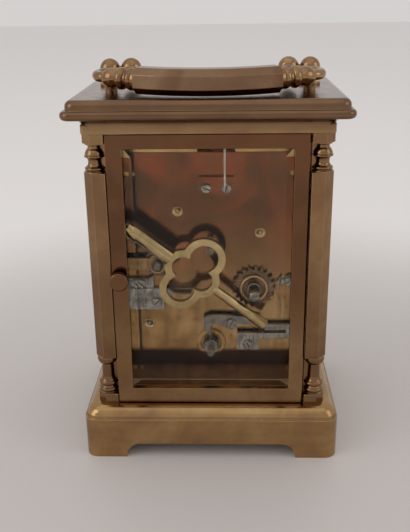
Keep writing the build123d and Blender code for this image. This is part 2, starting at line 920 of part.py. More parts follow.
def make_arm(side):
    curve = grip_curve()
    start = curve @ 1
    along = curve % 1
    heading = degrees(atan2(along.Y, along.X))
    stations = [(arm_ring_radius, 0)]
    rings = [share * arm_length for share in arm_ring_shares]
    stations.append((arm_ring_radius, rings[1]))
    stations.append((arm_neck_radius, rings[1]))
    stations.append((arm_neck_radius, rings[2], arm_ring_radius - arm_neck_radius))
    stations.append((arm_neck_radius, rings[3]))
    stations.append((arm_neck_radius, rings[4], arm_ring_radius - arm_neck_radius))
    stations.append((arm_radius, arm_length, arm_bulb_radius - (arm_neck_radius + arm_radius) / 2))
    knuckle = Plane(origin=start, x_dir=(0, 0, 1), z_dir=along) * turned(stations)
    corner = start + along * arm_length
    bend = JernArc(start=corner, tangent=along, radius=arm_bend, arc_size=-(180 + heading))
    hook = JernArc(start=bend @ 1, tangent=bend % 1, radius=arm_hook, arc_size=90)
    into_ball = Line(hook @ 1, Vector(ball_place, 0, 0))
    section = Circle(arm_radius)
    tube = sweep(Plane(origin=corner, z_dir=along) * section, path=Wire([bend, hook]))
    stub = sweep(Plane(origin=hook @ 1, z_dir=into_ball % 0) * section, path=into_ball)
    knee = Pos(*(hook @ 1)) * Sphere(arm_radius)
    arm = knuckle + tube + knee + stub + Pos(ball_place, 0, 0) * Sphere(ball_radius)
    hole_low = ball_place - pivot_pin_depth - seat_gap
    hole = Plane.YZ.offset(hole_low) * Circle(pivot_pin_radius + run_gap)
    arm = arm - extrude(hole, ball_radius + pivot_pin_depth + cut_over)
    return let_down(arm if side > 0 else mirror(arm, about=Plane.YZ))


def make_handle_posts():
    posts = []
    for side in (-1, 1):
        at = (side * handle_post_x, 0)
        body = pillar(at, roof_top, roof_top + handle_collar_height, handle_collar_radius)
        body = body + pillar(at, roof_top - handle_stud_length, roof_top, handle_stud_radius)
        body = body + pillar(at, roof_top, pivot_z, handle_stem_radius)
        body = body + Pos(at[0], 0, pivot_z) * Sphere(post_ball_radius)
        low = ball_place - pivot_pin_depth
        pin = extrude(Plane.YZ.offset(low) * Circle(pivot_pin_radius), handle_post_x - low)
        pin = Pos(0, 0, pivot_z) * pin
        posts.append(body + (pin if side > 0 else mirror(pin, about=Plane.YZ)))
    return posts


# Movement frame
def pillar_places():
    across = plate_width / 2 - pillar_inset
    heights = (floor_top + pillar_low, plate_top - pillar_high)
    return [(side * across, height) for side in (-1, 1) for height in heights]


def plate_block(low, high):
    return block((-plate_width / 2, plate_width / 2), (low, high), (floor_top, plate_top))


def train_holes():
    tube = set_radius + run_gap + centre_tube_wall + run_gap
    pivot = pivot_radius + run_gap
    return [(centre_at, tube), (third_at, pivot), (alarm_wheel_at, pivot), (hammer_at, pivot),
            (alarm_set_at, set_radius + run_gap)]


def make_back_plate():
    plate = plate_block(back_inside, back_face) - platform_screw_holes()
    spare = (centre_at[0] - spare_sink_out, centre_at[1] + spare_sink_up)
    for at in (third_at, hammer_at, spare):
        plate = plate - rod(at, back_face - oil_sink_depth, back_face + cut_over, oil_sink_radius)
    ring = Circle(knurl_collar_radius) - Circle(knurl_collar_radius - knurl_collar_wall)
    plate = plate + slab(Pos(*alarm_set_at) * ring, back_face, back_face + knurl_collar_height)
    winding = barrel_arbor_radius + run_gap
    places = train_holes() + [(going_at, winding), (alarm_at, winding), (contrate_at, arbor_radius + air_gap)]
    for at, seat in back_screw_places():
        places.append((at, small_screw_radius + fit_gap))
    for at in pillar_places():
        places.append((at, small_screw_radius + fit_gap))
    return plate - plate_holes(places, back_inside, back_face)


def make_front_plate():
    plate = plate_block(front_face, front_inside) - platform_screw_holes()
    winding = barrel_pivot_radius + run_gap
    places = train_holes() + [(going_at, winding), (alarm_at, winding), (contrate_at, pivot_radius + run_gap)]
    for at in pillar_places():
        places.append((at, small_screw_radius + fit_gap))
    plate = plate - plate_holes(places, front_face, front_inside)
    stud_end = front_face - motion_start - 2 * motion_wheel - 2 * air_gap
    return plate + rod(minute_at, stud_end, front_face, pivot_radius)


def make_pillars():
    pillars = []
    for at in pillar_places():
        body = rod(at, front_inside, back_inside, pillar_radius)
        body = body + rod(at, back_inside, back_face, small_screw_radius)
        hole_end = front_inside + small_screw_depth
        body = body - rod(at, front_inside - cut_over, hole_end, small_screw_radius + fit_gap)
        middle = (at[0], (front_inside + back_inside) / 2)
        if at[1] < floor_top + plate_height / 2:
            body = body - pillar(middle, floor_top - cut_over, at[1] + seat_gap, screw_radius + fit_gap)
        pillars.append(body)
    return pillars


# Toothed wheels between the plates
going_turns = pair_turns(going_angle + 180, centre_pinion_teeth)
third_turns = pair_turns(third_angle, third_pinion_teeth)
contrate_turns = pair_turns(contrate_angle, contrate_pinion_teeth)
alarm_turns = pair_turns(alarm_wheel_angle, alarm_pinion_teeth)


def make_barrel(at, teeth, module, turn, low, flange, height, body_share):
    root = pitch_radius(teeth, module) - root_share * module
    outer = root * body_share
    wall = rod(at, low + flange, low + flange + height, outer)
    hollow = rod(at, low + flange, low + flange + height - barrel_cap, outer - barrel_wall)
    body = gear(at, teeth, module, turn, low, low + flange) + (wall - hollow)
    return body - rod(at, low - cut_over, low + flange + height + cut_over, barrel_arbor_radius + run_gap)


def make_mainspring(at, teeth, module, low, height, body_share):
    outer = (pitch_radius(teeth, module) - root_share * module) * body_share - barrel_wall
    inner = spring_hub_radius + spring_gap + spring_strip
    pitch = (outer - spring_strip - inner) / (spring_turns + 1)
    path = spiral(inner, pitch, spring_turns)
    tall = height - barrel_cap - 2 * air_gap
    section = Plane(origin=path @ 0, x_dir=(1, 0, 0), z_dir=path % 0) * Rectangle(spring_strip, tall)
    coil = sweep(section, path=path)
    middle = low + air_gap + tall / 2
    return Pos(at[0], middle, at[1]) * Rot(90, 0, 0) * coil


def make_winding_arbor(at, low, height, end):
    body = rod(at, front_face + seat_gap, front_inside, barrel_pivot_radius)
    body = body + rod(at, front_inside + air_gap, back_face + square_start, barrel_arbor_radius)
    body = body + rod(at, front_inside - seat_gap, front_inside + air_gap, barrel_pivot_radius)
    body = body + rod(at, low + air_gap, low + height - barrel_cap - air_gap, spring_hub_radius)
    half = square_side / 2
    x = (at[0] - half, at[0] + half)
    z = (at[1] - half, at[1] + half)
    square = block(x, (back_face + square_start, back_face + end), z)
    # the corners are turned off and the end is domed
    reach = end - square_start
    tip = (square_corner_radius * square_tip_share, reach, square_bulge)
    stub = turned(((square_corner_radius, 0), (square_corner_radius, reach - square_dome), tip))
    return body + (square & Pos(at[0], back_face + square_start, at[1]) * Rot(-90, 0, 0) * stub)


def make_ratchet(at, radius, turn):
    face = ratchet_face(ratchet_teeth, radius * ratchet_root_share, radius, turn)
    body = slab(Pos(*at) * face, work_face, work_face + ratchet_thickness)
    return body - rod(at, back_face, work_face + ratchet_thickness + cut_over, barrel_arbor_radius + fit_gap)


bridge_low = work_face + ratchet_thickness + air_gap
bridge_high = bridge_low + bridge_thickness


def bridge_screw():
    return (plate_width / 2 - bridge_foot / 2, alarm_at[1])


def make_alarm_bridge():
    low = bridge_low
    high = bridge_high
    edge = plate_width / 2
    z = (alarm_at[1] - bridge_height / 2, alarm_at[1] + bridge_height / 2)
    body = block((alarm_at[0], edge), (low, high), z) + rod(alarm_at, low, high, bridge_eye)
    body = body + block((edge - bridge_foot, edge), (back_face, low), z)
    body = body - rod(bridge_screw(), back_face - cut_over, high + cut_over, small_screw_radius + fit_gap)
    return body - rod(alarm_at, low - cut_over, high + cut_over, barrel_arbor_radius + run_gap)


def make_ratchet_collar():
    low = work_face + ratchet_thickness
    collar = rod(going_at, low, low + collar_height, collar_radius)
    collar = collar - rod(going_at, low - cut_over, low + collar_height + cut_over, collar_radius - collar_wall)
    return fillet(collar.edges().filter_by(GeomType.CIRCLE).group_by(Axis.Y)[-1], collar_wall / 3)


def make_centre_wheel():
    tube = set_radius + run_gap + centre_tube_wall
    body = gear(centre_at, centre_teeth, train_module, third_turns[0], centre_y, centre_y + wheel_thickness)
    pinion_low = barrel_y - pinion_overlap
    pinion_high = barrel_y + barrel_flange + pinion_overlap
    body = body + gear(centre_at, centre_pinion_teeth, barrel_module, going_turns[1], pinion_low, pinion_high)
    body = body + rod(centre_at, front_face + seat_gap, back_face - seat_gap, tube)
    spokes = pitch_radius(centre_teeth, train_module)
    body = body - crossing(centre_at, spokes, centre_y, centre_y + wheel_thickness)
    return body - rod(centre_at, front_face - cut_over, back_face + cut_over, set_radius + run_gap)


def crossing(at, radius, low, high):
    # four openings between the spokes of a wheel
    inner_share = 0.42
    outer_share = 0.84
    spoke_share = 0.09
    ring = Circle(radius * outer_share) - Circle(radius * inner_share)
    cross = Rectangle(2 * radius, 2 * radius * spoke_share) + Rectangle(2 * radius * spoke_share, 2 * radius)
    cuts = slab(Pos(*at) * (ring - cross), low - cut_over, high + cut_over)
    return cuts


def train_arbor(at, low, high):
    body = rod(at, front_face + seat_gap, back_face - seat_gap, pivot_radius)
    return body + rod(at, low, high, arbor_radius)


def make_third_wheel():
    body = gear(third_at, third_teeth, train_module, contrate_turns[0], third_y, third_y + wheel_thickness)
    body = body - crossing(third_at, pitch_radius(third_teeth, train_module), third_y, third_y + wheel_thickness)
    low = centre_y - pinion_overlap
    high = centre_y + wheel_thickness + pinion_overlap
    body = body + gear(third_at, third_pinion_teeth, train_module, third_turns[1], low, high)
    return body + train_arbor(third_at, front_inside + air_gap, back_inside - air_gap)


def make_contrate_wheel():
    low = contrate_y
    high = contrate_y + wheel_thickness
    outer = contrate_radius + crown_tooth_width / 2
    inner = contrate_radius - crown_tooth_width / 2
    body = slab(Pos(*contrate_at) * Circle(outer), low, high)
    body = body - crossing(contrate_at, inner - crown_rim, low, high)
    turn = 90 + 180 / contrate_teeth
    teeth = tooth_face(contrate_teeth, inner, outer, turn) - Circle(inner - crown_rim)
    body = body + slab(Pos(*contrate_at) * teeth, high, high + crown_tooth_height)
    pinion = (third_y - pinion_overlap, third_y + wheel_thickness + pinion_overlap)
    body = body + gear(contrate_at, contrate_pinion_teeth, train_module, contrate_turns[1], pinion[0], pinion[1])
    body = body + rod(contrate_at, front_inside + air_gap, back_face - air_gap, arbor_radius)
    return body + rod(contrate_at, front_face + seat_gap, back_face + cock_thickness / 2, pivot_radius)


# Alarm work: barrel, wheel, hammer and bell
def make_alarm_wheel():
    low = alarm_wheel_y
    face = ratchet_face(alarm_wheel_teeth, alarm_wheel_root, alarm_wheel_radius, 0)
    body = slab(Pos(*alarm_wheel_at) * face, low, low + wheel_thickness)
    pinion = (alarm_y - pinion_overlap, alarm_y + alarm_flange + pinion_overlap)
    body = body + gear(alarm_wheel_at, alarm_pinion_teeth, alarm_module, alarm_turns[1], pinion[0], pinion[1])
    return body + train_arbor(alarm_wheel_at, front_inside + air_gap, back_inside - air_gap)


def make_hammer():
    low = alarm_wheel_y
    high = low + hammer_arm_thickness
    half = hammer_arm_width / 2
    foot = deck_under - hammer_head_drop
    arm = outline(((hammer_at[0] - half, hammer_at[1]), (hammer_at[0] - half, foot),
                   (hammer_at[0] + half, foot), (hammer_at[0] + half, hammer_at[1])))
    pallet_top = hammer_reach - alarm_wheel_radius - air_gap
    pallet = Pos(0, pallet_top / 2) * Rectangle(hammer_pallet_width, pallet_top)
    face = arm + Pos(*hammer_at) * (Rot(0, 0, hammer_angle - 270) * pallet) + Pos(*hammer_at) * Circle(2 * half)
    body = slab(face, low, high)
    middle = (low + high) / 2
    head_half = hammer_head_length / 2
    head = rod((hammer_at[0], foot), middle - head_half, middle + head_half, hammer_head_radius)
    return body + head + train_arbor(hammer_at, front_inside + air_gap, back_inside - air_gap)


def bell_arc(flat, top, radius, low):
    # leaves the flat crown level with it and comes down to the lip
    across = radius - flat
    down = top - low
    curve = (across ** 2 + down ** 2) / (2 * down)
    half = asin(across / curve) / 2
    middle = (flat + curve * sin(half), top - curve * (1 - cos(half)))
    return ThreePointArc((flat, top), middle, (radius, low))


def make_bell():
    crown = deck_under - bell_nut_height
    inner = bell_radius - bell_wall
    rim = crown - bell_height
    dish = bell_dish_share * bell_radius
    low = crown - bell_wall
    section = [Line((0, crown), (dish, crown)), bell_arc(dish, crown, bell_radius, rim)]
    section.append(Line((bell_radius, rim), (inner, rim)))
    section.append(bell_arc(dish, low, inner, rim))
    section += [Line((dish, low), (0, low)), Line((0, low), (0, crown))]
    body = revolve(Plane.XZ * make_face(Wire(section)), Axis.Z)
    body = body - pillar((0, 0), low - cut_over, crown + cut_over, bell_stud_radius + fit_gap)
    stud = pillar((0, 0), low - bell_nut_height, deck_top, bell_stud_radius)
    stud = stud + pillar((0, 0), low - bell_nut_height, low, bell_nut_radius)
    stud = stud + pillar((0, 0), crown, deck_under, bell_nut_radius)
    return [body, stud]


# Setting arbors
def make_setting_arbor():
    front_end = dial_face - hand_stack
    square_low = back_face + set_square_end - set_square_length
    body = rod(centre_at, front_end, square_low, set_radius)
    half = set_square / 2
    x = (centre_at[0] - half, centre_at[0] + half)
    z = (centre_at[1] - half, centre_at[1] + half)
    return body + block(x, (square_low, back_face + set_square_end), z)


def make_alarm_setting_arbor():
    front_end = dial_face - hand_gap - hand_thickness - air_gap
    body = rod(alarm_set_at, front_end, back_face + alarm_set_end, set_radius)
    face = ratchet_face(knurl_teeth, knurl_root, knurl_radius, 0)
    return body + slab(Pos(*alarm_set_at) * face, work_face, work_face + knurl_length)


# Clicks, leaf springs and the screws of the back plate
click_top = work_face + click_thickness
hook_low = back_face + knurl_collar_height + air_gap
hook_top = hook_low + click_thickness


def going_click_at():
    return (going_at[0] - going_click_out, going_at[1] + going_click_up)


def alarm_click_at():
    return (alarm_at[0] + alarm_click_out, alarm_at[1] - alarm_click_down)


def hook_at():
    return (alarm_set_at[0] - hook_out, alarm_set_at[1] + hook_up)


def click_screw_hole(at):
    return rod(at, back_face, hook_top + cut_over, click_screw_radius + run_gap)


def make_going_click():
    at = going_click_at()
    reach = hypot(going_click_out, going_click_up) - going_ratchet_radius - air_gap
    heading = degrees(atan2(going_at[1] - at[1], going_at[0] - at[0]))
    lever = outline(((0, click_hub), (reach, click_beak), (reach, -click_beak), (0, -click_hub)))
    face = Pos(*at) * Rot(0, 0, heading) * (lever + Circle(click_hub))
    return slab(face, work_face, click_top) - click_screw_hole(at)


def alarm_click_low():
    return alarm_click_at()[1] - alarm_click_height / 2


def make_alarm_click():
    at = alarm_click_at()
    low = alarm_click_low()
    high = low + alarm_click_height
    right = alarm_at[0] + alarm_beak_place
    beak = alarm_at[1] - sqrt((alarm_ratchet_radius + air_gap) ** 2 - alarm_beak_place ** 2)
    face = outline(((at[0] + alarm_click_tail, low), (at[0] + alarm_click_tail, high), (right + click_hub, high),
                    (right + click_beak, beak), (right, beak), (right, low)))
    return slab(face, work_face, click_top) - click_screw_hole(at)


def make_setting_click():
    at = hook_at()
    tip_x = alarm_set_at[0]
    tip_z = alarm_set_at[1] + knurl_radius + air_gap
    top = at[1] + hook_rise
    hook = outline(((at[0], at[1] + hook_hub), (tip_x, top), (tip_x + hook_thick, top - hook_thick / 2),
                    (tip_x + hook_thick, at[1] - hook_thick / 2), (tip_x + click_beak, tip_z), (tip_x, tip_z),
                    (tip_x, at[1] - hook_thick / 2), (tip_x - hook_thick / 2, at[1]),
                    (at[0], at[1] - hook_hub)))
    end = at[0] - hook_tail_length
    low = at[1] - hook_tail_low
    tail = outline(((at[0], at[1] + hook_hub), (at[0], low), (end, low), (end, at[1] + hook_tail_high)))
    face = hook + tail + Pos(*at) * Circle(hook_hub)
    return slab(face, hook_low, hook_top) - click_screw_hole(at)


def alarm_foot_screw():
    left = alarm_click_at()[0] + alarm_click_tail
    top = alarm_click_low() - air_gap - leaf_width
    return (left - alarm_foot_screw_share * alarm_foot_length, top - alarm_foot_height / 2)


def set_foot_screw():
    at = hook_at()
    top = at[1] - hook_tail_low - air_gap - 2 * leaf_width - leaf_fold
    return (at[0] - click_hub - set_foot_length / 2, top - set_foot_height / 2)


def make_alarm_spring():
    left = alarm_click_at()[0] + alarm_click_tail
    top = alarm_click_low() - air_gap
    low = top - leaf_width
    leaf = block((left - alarm_leaf_length, left), (work_face, click_top), (low, top))
    foot = block((left - alarm_foot_length, left), (back_face, click_top), (low - alarm_foot_height, low))
    hole = rod(alarm_foot_screw(), back_face - cut_over, click_top + cut_over, small_screw_radius + fit_gap)
    return leaf + foot - hole


def make_setting_spring():
    at = hook_at()
    right = at[0] - click_hub
    high = at[1] - hook_tail_low - air_gap
    far = right - set_leaf_length
    fold = high - leaf_width - leaf_fold
    upper = block((far, far + fold_share * set_leaf_length), (hook_low, hook_top), (high - leaf_width, high))
    lower = block((far, right), (hook_low, hook_top), (fold - leaf_width, fold))
    end = block((far, far + leaf_width), (hook_low, hook_top), (fold - leaf_width, high))
    foot_low = fold - leaf_width - set_foot_height
    foot = block((right - set_foot_length, right), (back_face, hook_top), (foot_low, fold - leaf_width))
    hole = rod(set_foot_screw(), back_face - cut_over, hook_top + cut_over, small_screw_radius + fit_gap)
    return upper + lower + end + foot - hole


def cock_screws():
    level = contrate_at[1] + cock_rise
    return [(contrate_at[0] + side * cock_screw_place, level) for side in (-1, 1)]


def back_screw_places():
    places = [(at, click_top + seat_gap) for at in (going_click_at(), alarm_click_at())]
    places += [(hook_at(), hook_top + seat_gap), (alarm_foot_screw(), click_top), (set_foot_screw(), hook_top)]
    places.append((bridge_screw(), bridge_high))
    return places + [(at, back_face + cock_thickness) for at in cock_screws()]


def make_back_screws():
    screws = []
    pivots = (going_click_at(), alarm_click_at(), hook_at())
    for (at, seat), turn in zip(back_screw_places(), back_slot_turns):
        depth = seat - back_inside
        body = screw(at, seat, small_head_radius, small_head_height, small_screw_radius, depth, 1)
        if at in pivots:
            body = body + rod(at, back_face, seat, click_screw_radius)
        screws.append(Pos(at[0], 0, at[1]) * Rot(0, turn, 0) * Pos(-at[0], 0, -at[1]) * body)
    return screws


def make_pillar_screws():
    screws = []
    for at in pillar_places():
        depth = plate_thickness + small_screw_depth - seat_gap
        screws.append(screw(at, front_face, small_head_radius, small_head_height, small_screw_radius,
                            depth, -1))
    return screws


def make_contrate_cock():
    middle = contrate_at[1] + cock_rise
    half = cock_width / 2
    body = block((contrate_at[0] - half, contrate_at[0] + half), (back_face, back_face + cock_thickness),
                 (middle - cock_height / 2, middle + cock_height / 2))
    for at in cock_screws():
        hole_end = back_face + cock_thickness + cut_over
        body = body - rod(at, back_face - cut_over, hole_end, small_screw_radius + fit_gap)
    pivot_floor = back_face + cock_thickness / 2 + seat_gap
    return body - rod(contrate_at, back_face - cut_over, pivot_floor, pivot_radius + run_gap)


# Platform escapement on top of the plates
def platform_screws():
    rows = (front_face + plate_thickness / 2, back_face - plate_thickness / 2)
    across = plate_width / 2 - platform_inset - platform_screw_inset
    return [(side * across, row) for side in (-1, 1) for row in rows]


def platform_screw_holes():
    low = plate_top - small_screw_depth
    return [pillar(at, low, platform_top + cut_over, small_screw_radius + fit_gap) for at in platform_screws()]


def make_platform():
    half = plate_width / 2 - platform_inset
    body = block((-half, half), (front_face, back_face), (plate_top, platform_top))
    middle = escape_at[0]
    notch = platform_notch_width / 2
    body = body - block((middle - notch, middle + notch), (back_face - platform_notch_depth, back_face + cut_over),
                        (plate_top - cut_over, platform_top + cut_over))
    body = body - platform_screw_holes()
    holes = [(escape_at, pivot_radius + run_gap), (lever_at, pivot_radius + run_gap),
             (balance_at, staff_radius + run_gap)]
    for at, radius in holes:
        body = body - pillar(at, plate_top - cut_over, platform_top + cut_over, radius)
    return body


def make_platform_screws():
    screws = []
    for at in platform_screws():
        depth = platform_thickness + small_screw_depth - seat_gap
        screws.append(standing_screw(at, platform_top, small_head_radius, small_head_height, small_screw_radius,
                                     depth, 1))
    return screws


def make_escape_wheel():
    pinion_low = contrate_at[1] + contrate_radius - crown_tooth_width / 2 + seat_gap
    tip = escape_pinion_radius + mesh_depth / 2
    root = escape_pinion_radius - mesh_depth / 2
    leaves = tooth_face(escape_pinion_teeth, root, tip, 270)
    body = Pos(*escape_at) * sheet(leaves, pinion_low, plate_top - seat_gap)
    wheel = ratchet_face(escape_teeth, escape_root, escape_radius, 0) - Circle(escape_root - escape_thickness)
    wheel = wheel + Circle(2 * pivot_radius)
    for turn in (0, 60, 120):
        wheel = wheel + Rot(0, 0, turn) * Rectangle(2 * escape_root - escape_thickness, escape_thickness)
    body = body + Pos(*escape_at) * sheet(wheel, escape_z, escape_z + escape_thickness)
    top = platform_top + escape_cock_height + escape_cock_thickness - seat_gap
    body = body + pillar(escape_at, pinion_low, escape_z, pivot_radius)
    return body + pillar(escape_at, escape_z, top, staff_radius)


def make_escape_cock():
    low = platform_top + escape_cock_height
    high = low + escape_cock_thickness
    half = escape_cock_width / 2
    back = back_face - platform_notch_depth - seat_gap
    x = (escape_at[0] - half, escape_at[0] + half)
    body = block(x, (lever_at[1] - lever_hub, back), (low, high))
    body = body + block(x, (back - escape_cock_foot, back), (platform_top, high))
    for at in (escape_at, lever_at):
        body = body - pillar(at, low - cut_over, high + cut_over, staff_radius + run_gap)
    return body


def make_lever():
    reach = lever_reach - escape_radius - air_gap
    face = Circle(lever_hub)
    half = lever_width / 2
    fork = fork_share * balance_reach
    face = face + Pos(0, -fork / 2) * Rectangle(lever_width, fork)
    for side in (-1, 1):
        face = face + Pos(side * half, -fork) * Rectangle(half, lever_width)
        arm = Pos(0, reach / 2) * Rectangle(half, reach)
        face = face + Rot(0, 0, side * pallet_reach_angle) * arm
    body = Pos(*lever_at) * sheet(face, escape_z, escape_z + lever_thickness)
    top = platform_top + escape_cock_height + escape_cock_thickness - seat_gap
    body = body + pillar(lever_at, plate_top + seat_gap, escape_z, pivot_radius)
    return body + pillar(lever_at, escape_z, top, staff_radius)


def make_balance():
    rim = Circle(balance_radius) - Circle(balance_radius - balance_rim)
    spoke = Rectangle(2 * balance_radius - balance_rim, balance_spoke)
    face = rim + spoke + Circle(balance_hub)
    body = Pos(*balance_at) * sheet(face, balance_z, balance_z + balance_thickness)
    top = cock_z + balance_cock_thickness / 2
    return body + pillar(balance_at, plate_top + seat_gap, top, staff_radius)


def make_hairspring():
    path = spiral(hairspring_inner, hairspring_pitch, hairspring_turns)
    wire = sweep(Plane(origin=path @ 0, z_dir=path % 0) * Circle(hairspring_wire), path=path)
    gap = least_turn_gap(path, 2 * hairspring_wire, hairspring_turns)
    print("hairspring least gap to itself", round(gap, 3), "mm")
    return Pos(balance_at[0], balance_at[1], balance_z + balance_thickness + hairspring_rise) * wire


def make_balance_cock():
    half = balance_cock_width / 2
    high = cock_z + balance_cock_thickness
    y = (balance_at[1] - half, balance_at[1] + half)
    far = balance_at[0] + balance_cock_reach + balance_cock_foot
    body = block((balance_at[0], far), y, (cock_z, high)) + pillar(balance_at, cock_z, high, half)
    body = body + block((far - balance_cock_foot, far), y, (platform_top, high))
    body = body + pillar(balance_at, high, high + 2 * seat_gap + index_thickness, balance_hub)
    pivot_top = cock_z + balance_cock_thickness / 2 + seat_gap
    return body - pillar(balance_at, cock_z - cut_over, pivot_top, staff_radius + run_gap)


def make_index():
    low = index_z
    high = low + index_thickness
    tail_y = back_face + index_clear
    tail_x = balance_at[0] - index_side
    reach = hypot(tail_y - balance_at[1], index_side)
    turn = degrees(atan2(tail_y - balance_at[1], -index_side))
    face = Circle(index_ring) + Pos(reach / 2, 0) * Rectangle(reach, index_width)
    face = face - Circle(balance_hub + run_gap)
    arm = Pos(*balance_at) * Rot(0, 0, turn) * sheet(face, low, high)
    half = index_width / 2
    tip = plate_top - index_drop
    tail = block((tail_x - half, tail_x + half), (tail_y - half, tail_y + half), (tip, high))
    return arm + tail


# Motion work and dial
motion_low = front_face - motion_start - motion_wheel
motion_next = motion_low - air_gap - motion_wheel
first_module = 2 * motion_reach / (cannon_teeth + minute_teeth)
second_module = 2 * motion_reach / (minute_pinion_teeth + hour_teeth)
cannon_turns = pair_turns(motion_angle, minute_teeth)
hour_turns = pair_turns(motion_angle + 180, hour_teeth)
hour_hand_low = dial_face - hand_gap - hand_thickness
minute_hand_low = hour_hand_low - hand_gap - hand_thickness + air_gap


def make_cannon_pinion():
    body = gear(centre_at, cannon_teeth, first_module, cannon_turns[0], motion_low, motion_low + motion_wheel)
    body = body + rod(centre_at, minute_hand_low + hand_thickness + fit_gap, motion_low, cannon_radius)
    return body - rod(centre_at, minute_hand_low - cut_over, front_face, set_radius + fit_gap)


def make_minute_wheel():
    body = gear(minute_at, minute_teeth, first_module, cannon_turns[1], motion_low, motion_low + motion_wheel)
    low = motion_next
    body = body + gear(minute_at, minute_pinion_teeth, second_module, hour_turns[0], low, motion_low)
    return body - rod(minute_at, low - cut_over, front_face, pivot_radius + run_gap)


def make_hour_wheel():
    body = gear(centre_at, hour_teeth, second_module, hour_turns[1], motion_next, motion_next + motion_wheel)
    pipe = cannon_radius + run_gap + hour_pipe_wall
    body = body + rod(centre_at, hour_hand_low + hand_thickness + fit_gap, motion_next, pipe)
    return body - rod(centre_at, hour_hand_low - cut_over, front_face, cannon_radius + run_gap)


def make_mask():
    half = inner_x - mask_gap
    body = block((-half, half), (mask_face, mask_back), (floor_top, eaves - mask_gap))
    pipe = cannon_radius + run_gap + hour_pipe_wall + air_gap
    body = body - rod(centre_at, mask_face - cut_over, mask_back + cut_over, pipe)
    body = body - rod(alarm_set_at, mask_face - cut_over, mask_back + cut_over, set_radius + run_gap)
    across = plate_width / 2 - mask_foot_inset
    for side in (-1, 1):
        for height in (floor_top + mask_foot_inset, plate_top - mask_foot_inset - pillar_high):
            body = body + rod((side * across, height), mask_back, front_face, mask_foot_radius)
    return body


def make_dials():
    pipe = cannon_radius + run_gap + hour_pipe_wall + air_gap
    main = rod(centre_at, dial_face, mask_face, dial_radius)
    main = fillet(main.edges().filter_by(GeomType.CIRCLE).sort_by(Axis.Y)[:1], enamel_thickness / 2)
    small = rod(alarm_set_at, dial_face, mask_face, alarm_dial_radius)
    small = fillet(small.edges().filter_by(GeomType.CIRCLE).sort_by(Axis.Y)[:1], enamel_thickness / 2)
    main = main - rod(centre_at, dial_face - cut_over, mask_face + cut_over, pipe)
    small = small - rod(alarm_set_at, dial_face - cut_over, mask_face + cut_over, set_radius + run_gap)
    return [main, small]


def make_hand(at, length, hub, bore, angle, low):
    belly = hand_bulge_share * length
    half = hand_width / 2
    leaf = outline(((0, hand_tip), (belly, half), (length, hand_tip / 2), (length, -hand_tip / 2),
                    (belly, -half), (0, -hand_tip)))
    face = Rot(0, 0, angle) * leaf + Circle(hub) - Circle(bore)
    return slab(Pos(*at) * face, low, low + hand_thickness)


# Winding key hung by its bow on the hand setting arbor
key_y = back_face + key_setback - bow_thickness / 2


def key_centre():
    hang = bow_outer - bow_band - set_square / sqrt(2) - seat_gap
    across = key_angle + 90
    lobe = (centre_at[0] + key_lean, centre_at[1] - sqrt(hang ** 2 - key_lean ** 2))
    return polar(lobe, bow_lobe, across + 180)


def four_lobes(inset):
    face = Circle(bow_side_outer - inset)
    for side in (-1, 1):
        face = face + Pos(0, side * bow_lobe) * Circle(bow_outer - inset)
        face = face + Pos(side * bow_side_lobe, 0) * Circle(bow_side_outer - inset)
    return face


def make_key():
    bow = extrude(four_lobes(0) - four_lobes(bow_band), bow_thickness / 2, both=True)
    root = bow_side_lobe + bow_side_outer - key_root_share * bow_band
    big_end = root + key_big_length
    big = Plane.YZ.offset(root) * Circle(key_big_radius)
    bow = bow + extrude(big, key_big_length)
    big_bore = Plane.YZ.offset(big_end - key_big_bore_depth) * Rectangle(key_big_bore, key_big_bore)
    bow = bow - extrude(big_bore, key_big_bore_depth + cut_over)
    thin_root = Plane.YZ.offset(-root) * Circle(key_thin_radius)
    thin_end = -root - key_thin_length
    bow = bow + loft([thin_root, Plane.YZ.offset(thin_end) * Circle(key_thin_tip_radius)])
    thin_bore = Plane.YZ.offset(thin_end - cut_over) * Rectangle(key_thin_bore, key_thin_bore)
    bow = bow - extrude(thin_bore, key_thin_bore_depth + cut_over)
    centre = key_centre()
    upright = Rot(90, 0, 0) * Rot(0, 0, key_angle) * bow
    return Pos(centre[0], key_y, centre[1]) * upright


def going_barrel_low():
    return barrel_y + barrel_flange


